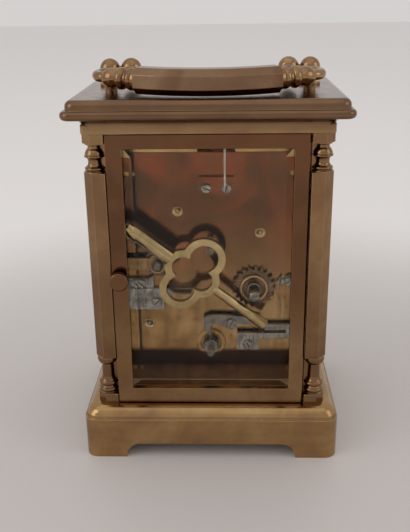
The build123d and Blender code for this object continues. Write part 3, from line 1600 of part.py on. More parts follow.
def make_all():
    nodes = {}
    nodes["base_plinth"] = make_base()
    nodes["floor_plate"] = make_floor()
    nodes["base_screws"] = make_base_screws()
    nodes["front_posts"] = [make_post(side, -1) for side in (-1, 1)]
    nodes["back_posts"] = [make_post(side, 1) for side in (-1, 1)]
    nodes["roof_cornice"] = make_roof()
    nodes["roof_glass"] = make_roof_glass()
    nodes["front_glass"] = make_front_glass()
    nodes["side_glasses"] = [make_side_glass(side) for side in (-1, 1)]
    nodes["door_frame"] = make_door_frame()
    nodes["door_glass"] = make_door_glass()
    nodes["door_pivot_pins"] = make_door_pins()
    nodes["door_knob"] = make_knob()
    nodes["handle_grip"] = make_grip()
    nodes["handle_arm_left"] = make_arm(-1)
    nodes["handle_arm_right"] = make_arm(1)
    nodes["handle_posts"] = make_handle_posts()
    nodes["back_plate"] = make_back_plate()
    nodes["front_plate"] = make_front_plate()
    nodes["plate_pillars"] = make_pillars()
    nodes["movement_screws"] = make_pillar_screws() + make_back_screws() + make_platform_screws()
    nodes["going_barrel"] = make_barrel(going_at, barrel_teeth, barrel_module, going_turns[0], barrel_y,
                                        barrel_flange, barrel_height, barrel_body_share)
    nodes["going_mainspring"] = make_mainspring(going_at, barrel_teeth, barrel_module, going_barrel_low(),
                                                barrel_height, barrel_body_share)
    nodes["going_arbor"] = make_winding_arbor(going_at, going_barrel_low(), barrel_height, going_end)
    nodes["going_ratchet"] = make_ratchet(going_at, going_ratchet_radius, 0)
    nodes["ratchet_collar"] = make_ratchet_collar()
    nodes["centre_wheel"] = make_centre_wheel()
    nodes["third_wheel"] = make_third_wheel()
    nodes["contrate_wheel"] = make_contrate_wheel()
    nodes["contrate_cock"] = make_contrate_cock()
    nodes["alarm_barrel"] = make_barrel(alarm_at, alarm_teeth, alarm_module, alarm_turns[0], alarm_y,
                                        alarm_flange, alarm_height, barrel_body_share)
    nodes["alarm_arbor"] = make_winding_arbor(alarm_at, alarm_y + alarm_flange, alarm_height, alarm_end)
    nodes["alarm_ratchet"] = make_ratchet(alarm_at, alarm_ratchet_radius, 0)
    nodes["alarm_bridge"] = make_alarm_bridge()
    nodes["alarm_wheel"] = make_alarm_wheel()
    nodes["alarm_hammer"] = make_hammer()
    nodes["alarm_bell"] = make_bell()
    nodes["setting_arbor"] = make_setting_arbor()
    nodes["alarm_setting_arbor"] = make_alarm_setting_arbor()
    nodes["going_click"] = make_going_click()
    nodes["alarm_click"] = make_alarm_click()
    nodes["setting_click"] = make_setting_click()
    nodes["click_springs"] = [make_alarm_spring(), make_setting_spring()]
    nodes["platform"] = make_platform()
    nodes["escape_wheel"] = make_escape_wheel()
    nodes["escape_cock"] = make_escape_cock()
    nodes["pallet_lever"] = make_lever()
    nodes["balance_wheel"] = make_balance()
    nodes["hairspring"] = make_hairspring()
    nodes["balance_cock"] = make_balance_cock()
    nodes["regulator_index"] = make_index()
    nodes["cannon_pinion"] = make_cannon_pinion()
    nodes["minute_wheel"] = make_minute_wheel()
    nodes["hour_wheel"] = make_hour_wheel()
    nodes["dial_mask"] = make_mask()
    nodes["enamel_dials"] = make_dials()
    nodes["hour_hand"] = make_hand(centre_at, hour_hand_length, hand_hub + hour_pipe_wall, cannon_radius + run_gap,
                                   hour_hand_angle, hour_hand_low)
    nodes["minute_hand"] = make_hand(centre_at, minute_hand_length, hand_hub, set_radius + fit_gap,
                                     minute_hand_angle, minute_hand_low)
    nodes["alarm_hand"] = make_hand(alarm_set_at, alarm_hand_length, hand_hub - hour_pipe_wall, set_radius + fit_gap,
                                    alarm_hand_angle, hour_hand_low)
    nodes["winding_key"] = make_key()
    return nodes


os.makedirs("parts", exist_ok=True)
for node_name, shape in make_all().items():
    if isinstance(shape, list):
        shape = Compound(children=shape)
    export_step(shape, "parts/" + node_name + ".step")
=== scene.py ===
import math

import bmesh
import bpy
from mathutils import Matrix, Vector


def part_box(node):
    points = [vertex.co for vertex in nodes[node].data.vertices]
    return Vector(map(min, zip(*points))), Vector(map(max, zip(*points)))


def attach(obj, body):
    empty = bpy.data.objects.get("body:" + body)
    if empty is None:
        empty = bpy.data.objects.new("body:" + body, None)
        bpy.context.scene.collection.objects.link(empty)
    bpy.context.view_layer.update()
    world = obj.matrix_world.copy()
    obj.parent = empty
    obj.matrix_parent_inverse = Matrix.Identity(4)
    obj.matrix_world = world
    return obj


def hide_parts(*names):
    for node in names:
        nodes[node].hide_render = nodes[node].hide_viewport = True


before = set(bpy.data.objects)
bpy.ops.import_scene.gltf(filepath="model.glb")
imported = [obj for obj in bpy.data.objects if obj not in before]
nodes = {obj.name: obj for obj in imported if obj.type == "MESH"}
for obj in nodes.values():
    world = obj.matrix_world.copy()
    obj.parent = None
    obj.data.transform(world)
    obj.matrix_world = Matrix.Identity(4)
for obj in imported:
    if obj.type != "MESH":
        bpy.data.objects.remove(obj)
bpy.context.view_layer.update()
mm = 0.001
weldGap = 0.0005 * mm
print("frame loaded,", len(nodes), "nodes")


def hexColour(code):
    # sRGB hex to the linear values that the shaders take
    parts = [int(code[i:i + 2], 16) / 255 for i in (1, 3, 5)]
    return tuple(p / 12.92 if p <= 0.04045 else ((p + 0.055) / 1.055) ** 2.4 for p in parts) + (1.0,)


def addNode(tree, kind, inputs=None, **settings):
    # inputs maps a socket to a value, or to the output socket that feeds it
    node = tree.nodes.new(kind)
    for key, value in settings.items():
        setattr(node, key, value)
    for key, value in (inputs or {}).items():
        if isinstance(value, bpy.types.NodeSocket):
            tree.links.new(value, node.inputs[key])
        else:
            node.inputs[key].default_value = value
    return node


def newMaterial(name):
    material = bpy.data.materials.new(name)
    material.use_nodes = True
    material.node_tree.nodes.clear()
    return material, material.node_tree


def perMm(size):
    # texture scale for a pattern whose cells are this many millimetres wide
    return 1.0 / (size * mm)


def setStops(ramp, stops):
    # stops are (place, hex) pairs from low to high
    while len(ramp.elements) < len(stops):
        ramp.elements.new(0.5)
    for element, (place, code) in zip(ramp.elements, stops):
        element.position = place
        element.color = hexColour(code)


def objectPlace(tree):
    return addNode(tree, "ShaderNodeTexCoord").outputs["Object"]


def cloudNoise(tree, place, sizeMm, detail, **more):
    # soft values about 0.5, with cells this many millimetres wide
    inputs = {"Vector": place, "Scale": perMm(sizeMm), "Detail": detail, **more}
    return addNode(tree, "ShaderNodeTexNoise", inputs).outputs["Fac"]


def colourRamp(tree, value, stops):
    ramp = addNode(tree, "ShaderNodeValToRGB", {"Fac": value})
    setStops(ramp.color_ramp, stops)
    return ramp.outputs[0]


def mixColour(tree, amount, below, above):
    # below where the amount is 0, above where it is 1
    return addNode(tree, "ShaderNodeMix", {0: amount, 6: below, 7: above}, data_type="RGBA").outputs[2]


def remap(tree, value, source, target, **settings):
    # source and target are (from, to) pairs
    inputs = {"Value": value, "From Min": source[0], "From Max": source[1], "To Min": target[0],
              "To Max": target[1]}
    return addNode(tree, "ShaderNodeMapRange", inputs, **settings).outputs[0]


def addRelief(tree, strength, depthMm, height, **more):
    inputs = {"Strength": strength, "Distance": depthMm * mm, "Height": height, **more}
    return addNode(tree, "ShaderNodeBump", inputs).outputs[0]


def addSurface(tree, inputs):
    shader = addNode(tree, "ShaderNodeBsdfPrincipled", inputs)
    addNode(tree, "ShaderNodeOutputMaterial", {"Surface": shader.outputs[0]})


# where each effect of age, painted shade and painted glint begins and ends along its mask
metalBands = {"streak": (0.42, 0.68), "spot": (0.6, 0.74), "edge": (0.995, 0.8), "grime": (0.75, 0.25),
              "gloss": (0.3, 0.7)}
nearSamples = 6


def agedMetal(name, look):
    # metal whose lacquer has gone: cloudy patches, grimy corners with painted shade, rubbed edges with
    # painted glints, fine wiping scratches
    material, tree = newMaterial(name)
    place = objectPlace(tree)
    clouds = cloudNoise(tree, place, look["cloudMm"], 6.0, Roughness=0.6, Distortion=0.5)
    tone = colourRamp(tree, clouds, look["tones"])
    # tarnish and painted shade deepen with height, the border broken up by the clouds
    height = addNode(tree, "ShaderNodeSeparateXYZ", {0: place}).outputs["Z"]
    ragged = addNode(tree, "ShaderNodeMath", {0: clouds, 1: look["stainRagMm"] * mm, 2: height},
                     operation="MULTIPLY_ADD").outputs[0]
    border = [level * mm for level in look["stainMm"]]
    rise = remap(tree, ragged, border, (0.0, look["stainStrength"]), interpolation_type="SMOOTHSTEP")
    patches = cloudNoise(tree, place, look["patchMm"], 4.0, Distortion=1.2)
    stained = mixColour(tree, rise, tone, colourRamp(tree, patches, look["stain"]))
    # drawn-out streaks, along the way the piece was filed or the oil ran
    grain = addNode(tree, "ShaderNodeMapping", {"Vector": place, "Rotation": look["grainTurn"]}).outputs[0]
    along = addNode(tree, "ShaderNodeMapping", {"Vector": grain, "Scale": look["scratchAlong"]}).outputs[0]
    streaks = cloudNoise(tree, along, look["streakMm"], 4.0)
    streakMask = remap(tree, streaks, metalBands["streak"], (0.0, look["streakStrength"]))
    streaked = mixColour(tree, streakMask, stained, hexColour(look["streak"]))
    # small spots where the tarnish has eaten deeper
    spots = cloudNoise(tree, place, look["spotMm"], 2.0)
    spotMask = remap(tree, spots, metalBands["spot"], (0.0, look["spotStrength"]))
    spotted = mixColour(tree, spotMask, streaked, hexColour(look["spot"]))
    # rubbed edges with painted glints, from the turn between the true normal and a rounded one
    bevel = addNode(tree, "ShaderNodeBevel", {"Radius": look["edgeMm"] * mm}, samples=nearSamples)
    rounded = bevel.outputs[0]
    trueNormal = addNode(tree, "ShaderNodeNewGeometry").outputs["Normal"]
    agree = addNode(tree, "ShaderNodeVectorMath", {0: rounded, 1: trueNormal}, operation="DOT_PRODUCT")
    edge = remap(tree, agree.outputs["Value"], metalBands["edge"], (0.0, look["edgeStrength"]))
    rubbed = mixColour(tree, edge, spotted, hexColour(look["edge"]))
    # grime with painted shade, darkening the corners and recesses that cloths don't reach
    corner = addNode(tree, "ShaderNodeAmbientOcclusion", {"Distance": look["grimeMm"] * mm},
                     samples=nearSamples, only_local=True)
    grime = remap(tree, corner.outputs["AO"], metalBands["grime"], (0.0, look["grimeStrength"]))
    colour = mixColour(tree, grime, rubbed, hexColour(look["grime"]))
    scratches = cloudNoise(tree, along, look["scratchMm"], 3.0)
    rough = addNode(tree, "ShaderNodeMath", {0: scratches, 1: clouds}, operation="ADD").outputs[0]
    relief = addRelief(tree, look["reliefStrength"], look["reliefMm"], rough, Normal=rounded)
    gloss = remap(tree, scratches, metalBands["gloss"], look["roughness"])
    dulled = addNode(tree, "ShaderNodeMath", {0: gloss, 1: grime}, operation="ADD", use_clamp=True).outputs[0]
    addSurface(tree, {"Base Color": colour, "Metallic": 1.0, "Roughness": dulled, "Normal": relief})
    return material


def metalLook(**changes):
    look = {"cloudMm": 16.0, "spotMm": 1.6, "spotStrength": 0.4, "edgeMm": 0.3, "edgeStrength": 0.45,
            "grimeMm": 2.0, "grimeStrength": 0.55, "scratchAlong": (1.0, 1.0, 0.15), "scratchMm": 0.3,
            "reliefStrength": 0.06, "reliefMm": 0.01, "roughness": (0.24, 0.32),
            "stainMm": (40.0, 100.0), "stainRagMm": 20.0,
            "stain": [(0.35, "#644330"), (0.65, "#785038")], "stainStrength": 0.0, "patchMm": 24.0,
            "streakMm": 2.0, "streak": "#5a4430", "streakStrength": 0.06, "grainTurn": (0.0, 0.0, 0.0)}
    look.update(changes)
    return look


# cast brass, once lacquered, now olive brown with the yellow showing where it is handled, painted glints
# along its edges and painted shade in its corners
castBrass = agedMetal("castBrassTarnished", metalLook(
    tones=[(0.3, "#927053"), (0.5, "#a7855a"), (0.72, "#b8996d")], spot="#765a3e", edge="#dcc096",
    grime="#3d2c1e", spotStrength=0.15, stainMm=(100.0, 109.0), stainRagMm=2.0, stainStrength=0.9,
    stain=[(0.35, "#604838"), (0.65, "#765a46")], grimeMm=2.5, grimeStrength=0.5, edgeStrength=0.6,
    scratchAlong=(0.12, 0.12, 1.0), streakStrength=0.14, roughness=(0.13, 0.2)))

# drawn and turned brass of the corner posts, a little redder and glossier than the castings
turnedBrass = agedMetal("turnedBrassTarnished", metalLook(
    tones=[(0.3, "#745740"), (0.52, "#846548"), (0.74, "#937753")], spot="#5d422e", edge="#d4b48a",
    grime="#38281e", spotStrength=0.15, edgeStrength=0.6, grimeStrength=0.35, roughness=(0.1, 0.18)))

# flat brass of the door, golden below and a darker reddish brown towards the top
redBrass = agedMetal("flatBrassRedTarnish", metalLook(
    tones=[(0.3, "#806043"), (0.5, "#907150"), (0.72, "#a28562")], spot="#553a26", edge="#b4926a",
    grime="#33231a", stainMm=(35.0, 80.0), stain=[(0.35, "#593d2c"), (0.65, "#6b4834")],
    stainStrength=0.92, spotStrength=0.2, scratchAlong=(1.0, 1.0, 1.0), roughness=(0.14, 0.22)))

# handle brass, polished by hands to a coppery brown with a soft sheen
handleBrass = agedMetal("handledBrass", metalLook(
    tones=[(0.3, "#6e523f"), (0.5, "#7e624c"), (0.74, "#8e755d")], spot="#5c4230", edge="#b0926f",
    grime="#33241c", spotStrength=0.2, scratchAlong=(0.06, 1.0, 1.0), streakStrength=0.15,
    edgeStrength=0.6, roughness=(0.14, 0.22)))

# the handle's turned arms and ball posts, rubbed to a copper shine
armBrass = agedMetal("handleArmBrass", metalLook(
    cloudMm=9.0, tones=[(0.3, "#806248"), (0.5, "#967554"), (0.74, "#ae906c")], spot="#644834",
    edge="#d2b48c", grime="#33241c", spotStrength=0.15, edgeStrength=0.5, grimeStrength=0.4,
    roughness=(0.1, 0.17)))

# rolled plate brass, once polished bright, stained reddish brown from the top by old oil, with painted shade
# darkening the top
plateBrass = agedMetal("plateBrassOilStained", metalLook(
    cloudMm=10.0, tones=[(0.3, "#8a683f"), (0.48, "#ac885a"), (0.7, "#cbab7c")], spot="#63472f",
    edge="#c8a87a", grime="#3b281a", spotMm=2.6, spotStrength=0.5, stainMm=(52.0, 94.0),
    stainRagMm=34.0, stainStrength=0.95, patchMm=30.0,
    stain=[(0.34, "#443122"), (0.45, "#5c3a28"), (0.58, "#80452e")], edgeStrength=0.8, streakMm=3.2,
    streak="#6a4c34", streakStrength=0.45, roughness=(0.08, 0.16), reliefStrength=0.04))

# the bridge over the alarm ratchet, duller than the wiped brass beside it
bridgeBrass = agedMetal("bridgeBrassDull", metalLook(
    cloudMm=6.0, tones=[(0.3, "#846744"), (0.5, "#9a7d54"), (0.75, "#b0946a")], spot="#664a30",
    edge="#cfb58a", grime="#3b2a1c", streakMm=1.4, streakStrength=0.4, roughness=(0.14, 0.24)))

# pivot bushes, turned and burnished, with near-white painted glints on their rims
bushBrass = agedMetal("bushBrassBurnished", metalLook(
    cloudMm=1.2, tones=[(0.3, "#b89a66"), (0.5, "#cdb182"), (0.75, "#e0c89c")], spot="#7c6040",
    edge="#fff0cc", grime="#4a361f", edgeMm=0.1, edgeStrength=0.8, spotStrength=0.1,
    roughness=(0.08, 0.14), reliefStrength=0.02))

# edges and bridges of the movement, kept paler by wiping
paleBrass = agedMetal("plateBrassWiped", metalLook(
    cloudMm=9.0, tones=[(0.3, "#a5865a"), (0.5, "#b6976a"), (0.75, "#c5a97e")], spot="#7c6040",
    edge="#dcc49a", grime="#46331f", spotStrength=0.2, roughness=(0.16, 0.24)))

# stamped and filed key brass, kept bright by use
keyBrass = agedMetal("keyBrassBright", metalLook(
    cloudMm=7.0, tones=[(0.3, "#a48e64"), (0.5, "#b8a177"), (0.75, "#cab68e")], spot="#86704c",
    edge="#e8d9b4", grime="#58442a", spotStrength=0.15, roughness=(0.06, 0.12), edgeStrength=0.7,
    grimeStrength=0.35, grainTurn=(0.0, math.radians(38), 0.0), scratchAlong=(0.04, 1.0, 1.0),
    streakMm=0.6, streak="#94804f", streakStrength=0.2, reliefStrength=0.03))

# wheel brass, cut and brushed, cleaner than the plates
wheelBrass = agedMetal("wheelBrassCut", metalLook(
    cloudMm=9.0, tones=[(0.3, "#9c7a48"), (0.5, "#b3905a"), (0.75, "#c4a46c")], spot="#7c5a34",
    edge="#dcc290", grime="#4a341d", spotStrength=0.2, scratchAlong=(1.0, 0.1, 1.0),
    roughness=(0.22, 0.32)))

# bell bronze, turned and left with fine lathe rings
bellMetal = agedMetal("bellBronzeTurned", metalLook(
    cloudMm=12.0, tones=[(0.3, "#846840"), (0.5, "#9c7e4f"), (0.75, "#b09462")], spot="#634a2a",
    edge="#ccb07e", grime="#3f2d1a", scratchAlong=(0.1, 0.1, 1.0), roughness=(0.2, 0.32)))

# ground steel with a grey skin of age
greySteel = agedMetal("groundSteelGrey", metalLook(
    cloudMm=3.0, tones=[(0.3, "#66635f"), (0.5, "#8a8782"), (0.75, "#b2aea8")], spot="#544a42",
    edge="#e6e3dc", grime="#2b2622", spotStrength=0.3, edgeMm=0.15, edgeStrength=0.7, streakMm=0.5,
    streak="#54504b", streakStrength=0.5, roughness=(0.14, 0.22), reliefStrength=0.03))

# screw heads, polished, with painted glints on the rims and dirt with painted shade in the slots
screwSteel = agedMetal("screwSteelPolished", metalLook(
    cloudMm=1.6, tones=[(0.3, "#6a6762"), (0.5, "#96938d"), (0.75, "#c0bcb5")], spot="#453c34",
    edge="#f2efe8", grime="#1c1714", edgeMm=0.16, edgeStrength=0.9, grimeMm=0.8, grimeStrength=0.8,
    streakStrength=0.3, roughness=(0.1, 0.18), reliefStrength=0.03))

# arbors that were turned and squared, browned by oil
arborSteel = agedMetal("arborSteelBrowned", metalLook(
    cloudMm=2.4, tones=[(0.3, "#5c5650"), (0.5, "#7e7872"), (0.75, "#a8a29a")], spot="#40362e",
    edge="#e2ddd2", grime="#1f1915", edgeMm=0.22, edgeStrength=0.75, streakStrength=0.25,
    roughness=(0.12, 0.2), reliefStrength=0.03))

# the index rod, drawn wire that kept its polish
indexSteel = agedMetal("indexSteelDrawn", metalLook(
    cloudMm=2.4, tones=[(0.3, "#8e8b86"), (0.5, "#aeaba5"), (0.75, "#cac7c0")], spot="#6a625a",
    edge="#f0eee8", grime="#332e2a", edgeMm=0.12, streakStrength=0.2, roughness=(0.14, 0.22),
    reliefStrength=0.03))

# steel ratchets under a brown film of old oil, with painted glints on the teeth
brownSteel = agedMetal("ratchetSteelOiled", metalLook(
    cloudMm=3.0, tones=[(0.3, "#54412f"), (0.5, "#705a48"), (0.75, "#927a66")], spot="#3c2e24",
    edge="#d2bb98", grime="#251d18", spotStrength=0.3, edgeMm=0.2, edgeStrength=0.8, streakMm=0.8,
    streakStrength=0.3, roughness=(0.13, 0.22), reliefStrength=0.03))

# hardened spring steel, tempered to a cold grey
springSteel = agedMetal("springSteelTempered", metalLook(
    cloudMm=3.0, tones=[(0.3, "#716f6c"), (0.5, "#9a9794"), (0.75, "#c4c1bc")], spot="#564c44",
    edge="#eceae5", grime="#262424", spotStrength=0.3, edgeMm=0.14, edgeStrength=0.7, streakMm=0.5,
    streak="#5e5a56", streakStrength=0.55, roughness=(0.14, 0.22), reliefStrength=0.03))

# steel blued over heat, dark with a blue gleam
bluedSteel = agedMetal("heatBluedSteel", metalLook(
    cloudMm=3.0, tones=[(0.3, "#1c2444"), (0.5, "#26315c"), (0.75, "#384680")], spot="#1a1a2a",
    edge="#5c6ca6", grime="#10121e", spotStrength=0.2, edgeMm=0.08, roughness=(0.16, 0.24),
    reliefStrength=0.08))

# fire-gilt mask with a fine frosted ground
giltMask = agedMetal("frostedGilding", metalLook(
    cloudMm=10.0, tones=[(0.3, "#a98648"), (0.5, "#bd9856"), (0.75, "#ccac6c")], spot="#8a693a",
    edge="#e2c890", grime="#5a4222", spotStrength=0.2, scratchAlong=(1.0, 1.0, 1.0), reliefStrength=0.5,
    reliefMm=0.05, roughness=(0.38, 0.5)))
print("metals made")


def thinPaint(name, look):
    # a thin coat of paint with a little grit, duller where the dust lies
    material, tree = newMaterial(name)
    place = objectPlace(tree)
    dust = cloudNoise(tree, place, look["dustMm"], 7.0, Roughness=0.65)
    grit = cloudNoise(tree, place, look["gritMm"], 2.0)
    relief = addRelief(tree, look["reliefStrength"], look["reliefMm"], grit)
    gloss = remap(tree, dust, (0.0, 1.0), look["roughness"])
    tone = colourRamp(tree, dust, look["tones"])
    addSurface(tree, {"Base Color": tone, "Roughness": gloss, "Normal": relief})
    return material


# brown stoved paint on the floor plate, its tones raised with painted light against the shade it lies in
floorPaint = thinPaint("stovedBrownPaint", {
    "dustMm": 9.0, "gritMm": 0.4, "reliefStrength": 0.3, "reliefMm": 0.03, "roughness": (0.35, 0.6),
    "tones": [(0.3, "#8a7060"), (0.55, "#a48a78"), (0.8, "#bca08e")]})

# black dial paint fired into the enamel, slightly raised and satin
dialPaint = thinPaint("firedBlackDialPaint", {
    "dustMm": 2.0, "gritMm": 0.15, "reliefStrength": 0.3, "reliefMm": 0.03, "roughness": (0.25, 0.4),
    "tones": [(0.3, "#121114"), (0.55, "#1a191d"), (0.8, "#252428")]})


def vitreousEnamel(look):
    # white glass fired on copper: glossy, faintly rippled, a little warmer towards old stains
    material, tree = newMaterial("vitreousEnamelWhite")
    place = objectPlace(tree)
    stain = cloudNoise(tree, place, look["stainMm"], 5.0)
    ripple = cloudNoise(tree, place, look["rippleMm"], 1.0)
    relief = addRelief(tree, look["reliefStrength"], look["reliefMm"], ripple)
    gloss = remap(tree, stain, (0.0, 1.0), look["roughness"])
    tone = colourRamp(tree, stain, look["tones"])
    addSurface(tree, {"Base Color": tone, "Roughness": gloss, "Normal": relief,
                      "Coat Weight": look["coat"], "Coat Roughness": look["coatRoughness"]})
    return material


whiteEnamel = vitreousEnamel({
    "stainMm": 9.0, "rippleMm": 5.0, "reliefStrength": 0.1, "reliefMm": 0.05, "roughness": (0.08, 0.18),
    "coat": 0.4, "coatRoughness": 0.05, "tones": [(0.3, "#d9d3c4"), (0.5, "#e4dfd2"), (0.75, "#ece8de")]})


def plateGlass(name, look):
    # old drawn plate glass, clear, with a haze of dust that is thicker in patches
    material, tree = newMaterial(name)
    haze = cloudNoise(tree, objectPlace(tree), look["hazeMm"], 6.0)
    gloss = remap(tree, haze, look["hazeBand"], look["roughness"])
    tint = hexColour(look["tint"])
    glass = addNode(tree, "ShaderNodeBsdfPrincipled", {"Base Color": tint, "IOR": look["bend"],
                                                       "Transmission Weight": 1.0, "Roughness": gloss,
                                                       "Specular Tint": hexColour(look["gleam"])})
    letThrough = addNode(tree, "ShaderNodeBsdfTransparent", {"Color": tint})
    shadow = addNode(tree, "ShaderNodeLightPath").outputs["Is Shadow Ray"]
    both = addNode(tree, "ShaderNodeMixShader", {0: shadow, 1: glass.outputs[0], 2: letThrough.outputs[0]})
    addNode(tree, "ShaderNodeOutputMaterial", {"Surface": both.outputs[0]})
    return material


# the bevelled panes of the front and sides, and the flat window in the roof
clearGlass = plateGlass("bevelledPlateGlass", {
    "hazeMm": 18.0, "hazeBand": (0.4, 0.75), "roughness": (0.0, 0.006), "bend": 1.5, "gleam": "#b0b0ae",
    "tint": "#f6f5f0"})

# the door's pane, given a lower index than real glass so that it bends and mirrors less
doorGlass = plateGlass("bevelledDoorGlass", {
    "hazeMm": 18.0, "hazeBand": (0.4, 0.75), "roughness": (0.0, 0.006), "bend": 1.22, "gleam": "#ffffff",
    "tint": "#f8f7f2"})
print("glass, enamel and paint made")

finishes = {
    "base_plinth": castBrass, "roof_cornice": castBrass, "front_posts": turnedBrass,
    "back_posts": turnedBrass, "floor_plate": floorPaint, "base_screws": greySteel,
    "roof_glass": clearGlass, "front_glass": clearGlass, "side_glasses": clearGlass,
    "door_glass": doorGlass, "door_frame": redBrass, "door_pivot_pins": redBrass, "door_knob": redBrass,
    "handle_posts": armBrass, "handle_grip": handleBrass, "handle_arm_left": armBrass,
    "handle_arm_right": armBrass, "back_plate": plateBrass, "front_plate": plateBrass,
    "plate_pillars": wheelBrass, "movement_screws": screwSteel, "contrate_cock": plateBrass,
    "click_springs": springSteel, "platform": paleBrass, "escape_cock": paleBrass,
    "balance_cock": paleBrass, "alarm_bridge": bridgeBrass, "hairspring": bluedSteel,
    "dial_mask": giltMask, "enamel_dials": whiteEnamel, "alarm_bell": bellMetal,
    "winding_key": keyBrass, "setting_arbor": arborSteel, "cannon_pinion": greySteel,
    "minute_hand": bluedSteel, "minute_wheel": wheelBrass, "hour_wheel": wheelBrass,
    "hour_hand": bluedSteel, "alarm_setting_arbor": greySteel, "alarm_hand": bluedSteel,
    "going_arbor": arborSteel, "going_ratchet": brownSteel, "ratchet_collar": paleBrass,
    "going_barrel": wheelBrass, "going_mainspring": springSteel, "centre_wheel": wheelBrass,
    "third_wheel": wheelBrass, "contrate_wheel": wheelBrass, "escape_wheel": wheelBrass,
    "pallet_lever": greySteel, "balance_wheel": wheelBrass, "regulator_index": indexSteel,
    "alarm_arbor": arborSteel, "alarm_ratchet": brownSteel, "alarm_barrel": wheelBrass,
    "alarm_wheel": wheelBrass, "alarm_hammer": greySteel, "going_click": greySteel,
    "alarm_click": greySteel, "setting_click": greySteel,
}
for name, node in nodes.items():
    node.data.materials.clear()
    node.data.materials.append(finishes[name])
print("finishes laid on the nodes")


def finishPiece(name, work, material, body):
    # the bmesh becomes an object at the origin that rides on a body
    bmesh.ops.remove_doubles(work, verts=work.verts, dist=weldGap)
    bmesh.ops.recalc_face_normals(work, faces=work.faces)
    mesh = bpy.data.meshes.new(name)
    work.to_mesh(mesh)
    work.free()
    mesh.materials.append(material)
    piece = bpy.data.objects.new(name, mesh)
    bpy.context.scene.collection.objects.link(piece)
    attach(piece, body)
    return piece


def onDial(centre, face):
    # local x runs right, y up and z out of the dial towards the reader
    return Matrix.Translation((centre[0], face, centre[1])) @ Matrix.Rotation(math.radians(90), 4, "X")


def addRing(work, inner, outer, height, steps):
    # a flat ring, spun from its section
    places = ((inner, 0), (outer, 0), (outer, height), (inner, height))
    corners = [work.verts.new((radius, 0, level)) for radius, level in places]
    section = work.faces.new(corners)
    bmesh.ops.spin(work, geom=[section, *section.edges, *corners], cent=(0, 0, 0), axis=(0, 0, 1),
                   angle=math.tau, steps=steps, use_merge=True)


def addMark(work, width, length, height, radius, turn):
    # one stroke of a minute or hour track, its length along the radius
    place = Matrix.Rotation(-turn, 4, "Z") @ Matrix.Translation((0, radius, height / 2)) @ Matrix.Diagonal(
        (width, length, height, 1))
    bmesh.ops.create_cube(work, size=1.0, matrix=place)


def addText(work, words, size, height, squeeze, place):
    # letters set by the built-in type, made a mesh and then placed
    curve = bpy.data.curves.new("dialText", "FONT")
    curve.body = words
    curve.size = size
    curve.align_x = "CENTER"
    curve.align_y = "CENTER"
    curve.extrude = height / 2
    curve.resolution_u = 4
    setter = bpy.data.objects.new("dialText", curve)
    mesh = bpy.data.meshes.new_from_object(setter)
    corners = [v.co for v in mesh.vertices]
    middle = Vector(((min(c.x for c in corners) + max(c.x for c in corners)) / 2,
                     (min(c.y for c in corners) + max(c.y for c in corners)) / 2, -height / 2))
    mesh.transform(place @ Matrix.Diagonal((squeeze, 1, 1, 1)) @ Matrix.Translation(-middle))
    work.from_mesh(mesh)
    bpy.data.objects.remove(setter)
    bpy.data.curves.remove(curve)
    bpy.data.meshes.remove(mesh)


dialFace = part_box("enamel_dials")[0].y  # the dials face the reader at their lowest y
chapter = {"name": "chapterRing", "centre": (0.0, 65.7 * mm), "numeralRadius": 14.6 * mm,
           "numeralSize": 6.6 * mm, "squeeze": 0.62, "upright": False, "inner": 18.1 * mm, "outer": 19.9 * mm,
           "line": 0.14 * mm, "steps": 120, "marks": 60, "hourEvery": 5, "markWidth": 0.16 * mm,
           "hourWidth": 0.55 * mm, "paint": 0.03 * mm,
           "numerals": ["XII", "I", "II", "III", "IIII", "V", "VI", "VII", "VIII", "IX", "X", "XI"]}
alarmChapter = {"name": "alarmChapterRing", "centre": (0.0, 31.7 * mm), "numeralRadius": 5.0 * mm,
                "numeralSize": 2.5 * mm, "squeeze": 0.8, "upright": True, "inner": 6.3 * mm,
                "outer": 6.9 * mm, "line": 0.1 * mm, "steps": 72, "marks": 48, "hourEvery": 4,
                "markWidth": 0.12 * mm, "hourWidth": 0.288 * mm, "paint": 0.03 * mm,
                "numerals": ["12", "1", "2", "3", "4", "5", "6", "7", "8", "9", "10", "11"]}


def makeChapter(look):
    # two fine rings with the marks between them, and the numerals inside
    work = bmesh.new()
    for radius in (look["inner"], look["outer"]):
        addRing(work, radius - look["line"] / 2, radius + look["line"] / 2, look["paint"], look["steps"])
    middle = (look["inner"] + look["outer"]) / 2
    for step in range(look["marks"]):
        width = look["hourWidth"] if step % look["hourEvery"] == 0 else look["markWidth"]
        turn = math.tau * step / look["marks"]
        addMark(work, width, look["outer"] - look["inner"], look["paint"], middle, turn)
    for step, words in enumerate(look["numerals"]):
        turn = math.tau * step / len(look["numerals"])
        place = Matrix.Rotation(-turn, 4, "Z") @ Matrix.Translation((0, look["numeralRadius"], 0))
        if look["upright"]:
            place = place @ Matrix.Rotation(turn, 4, "Z")
        addText(work, words, look["numeralSize"], look["paint"], look["squeeze"], place)
    bmesh.ops.transform(work, matrix=onDial(look["centre"], dialFace), verts=work.verts)
    return finishPiece(look["name"], work, dialPaint, "case")


makeChapter(chapter)
makeChapter(alarmChapter)
print("dials painted")


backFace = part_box("contrate_cock")[0].y  # the cock stands on the plate's back face
bushes = {"places": [(10.0, 76.06), (-15.6, 69.1), (20.14, 38.21)], "steps": 32,
          "section": [(0.72, -0.52), (0.8, -0.3), (1.16, -0.16), (1.36, 0.05), (1.5, 0.05), (1.54, 0.0),
                      (1.54, -0.52)],
          "stub": {"places": [(-15.6, 69.1)],
                   "section": [(0.0, 0.02), (0.3, 0.0), (0.46, -0.1), (0.5, -0.52)]}}


def onBack(place):
    # local z runs out of the back plate towards the door
    spot = Matrix.Translation((place[0] * mm, backFace, place[1] * mm))
    return spot @ Matrix.Rotation(math.radians(-90), 4, "X")


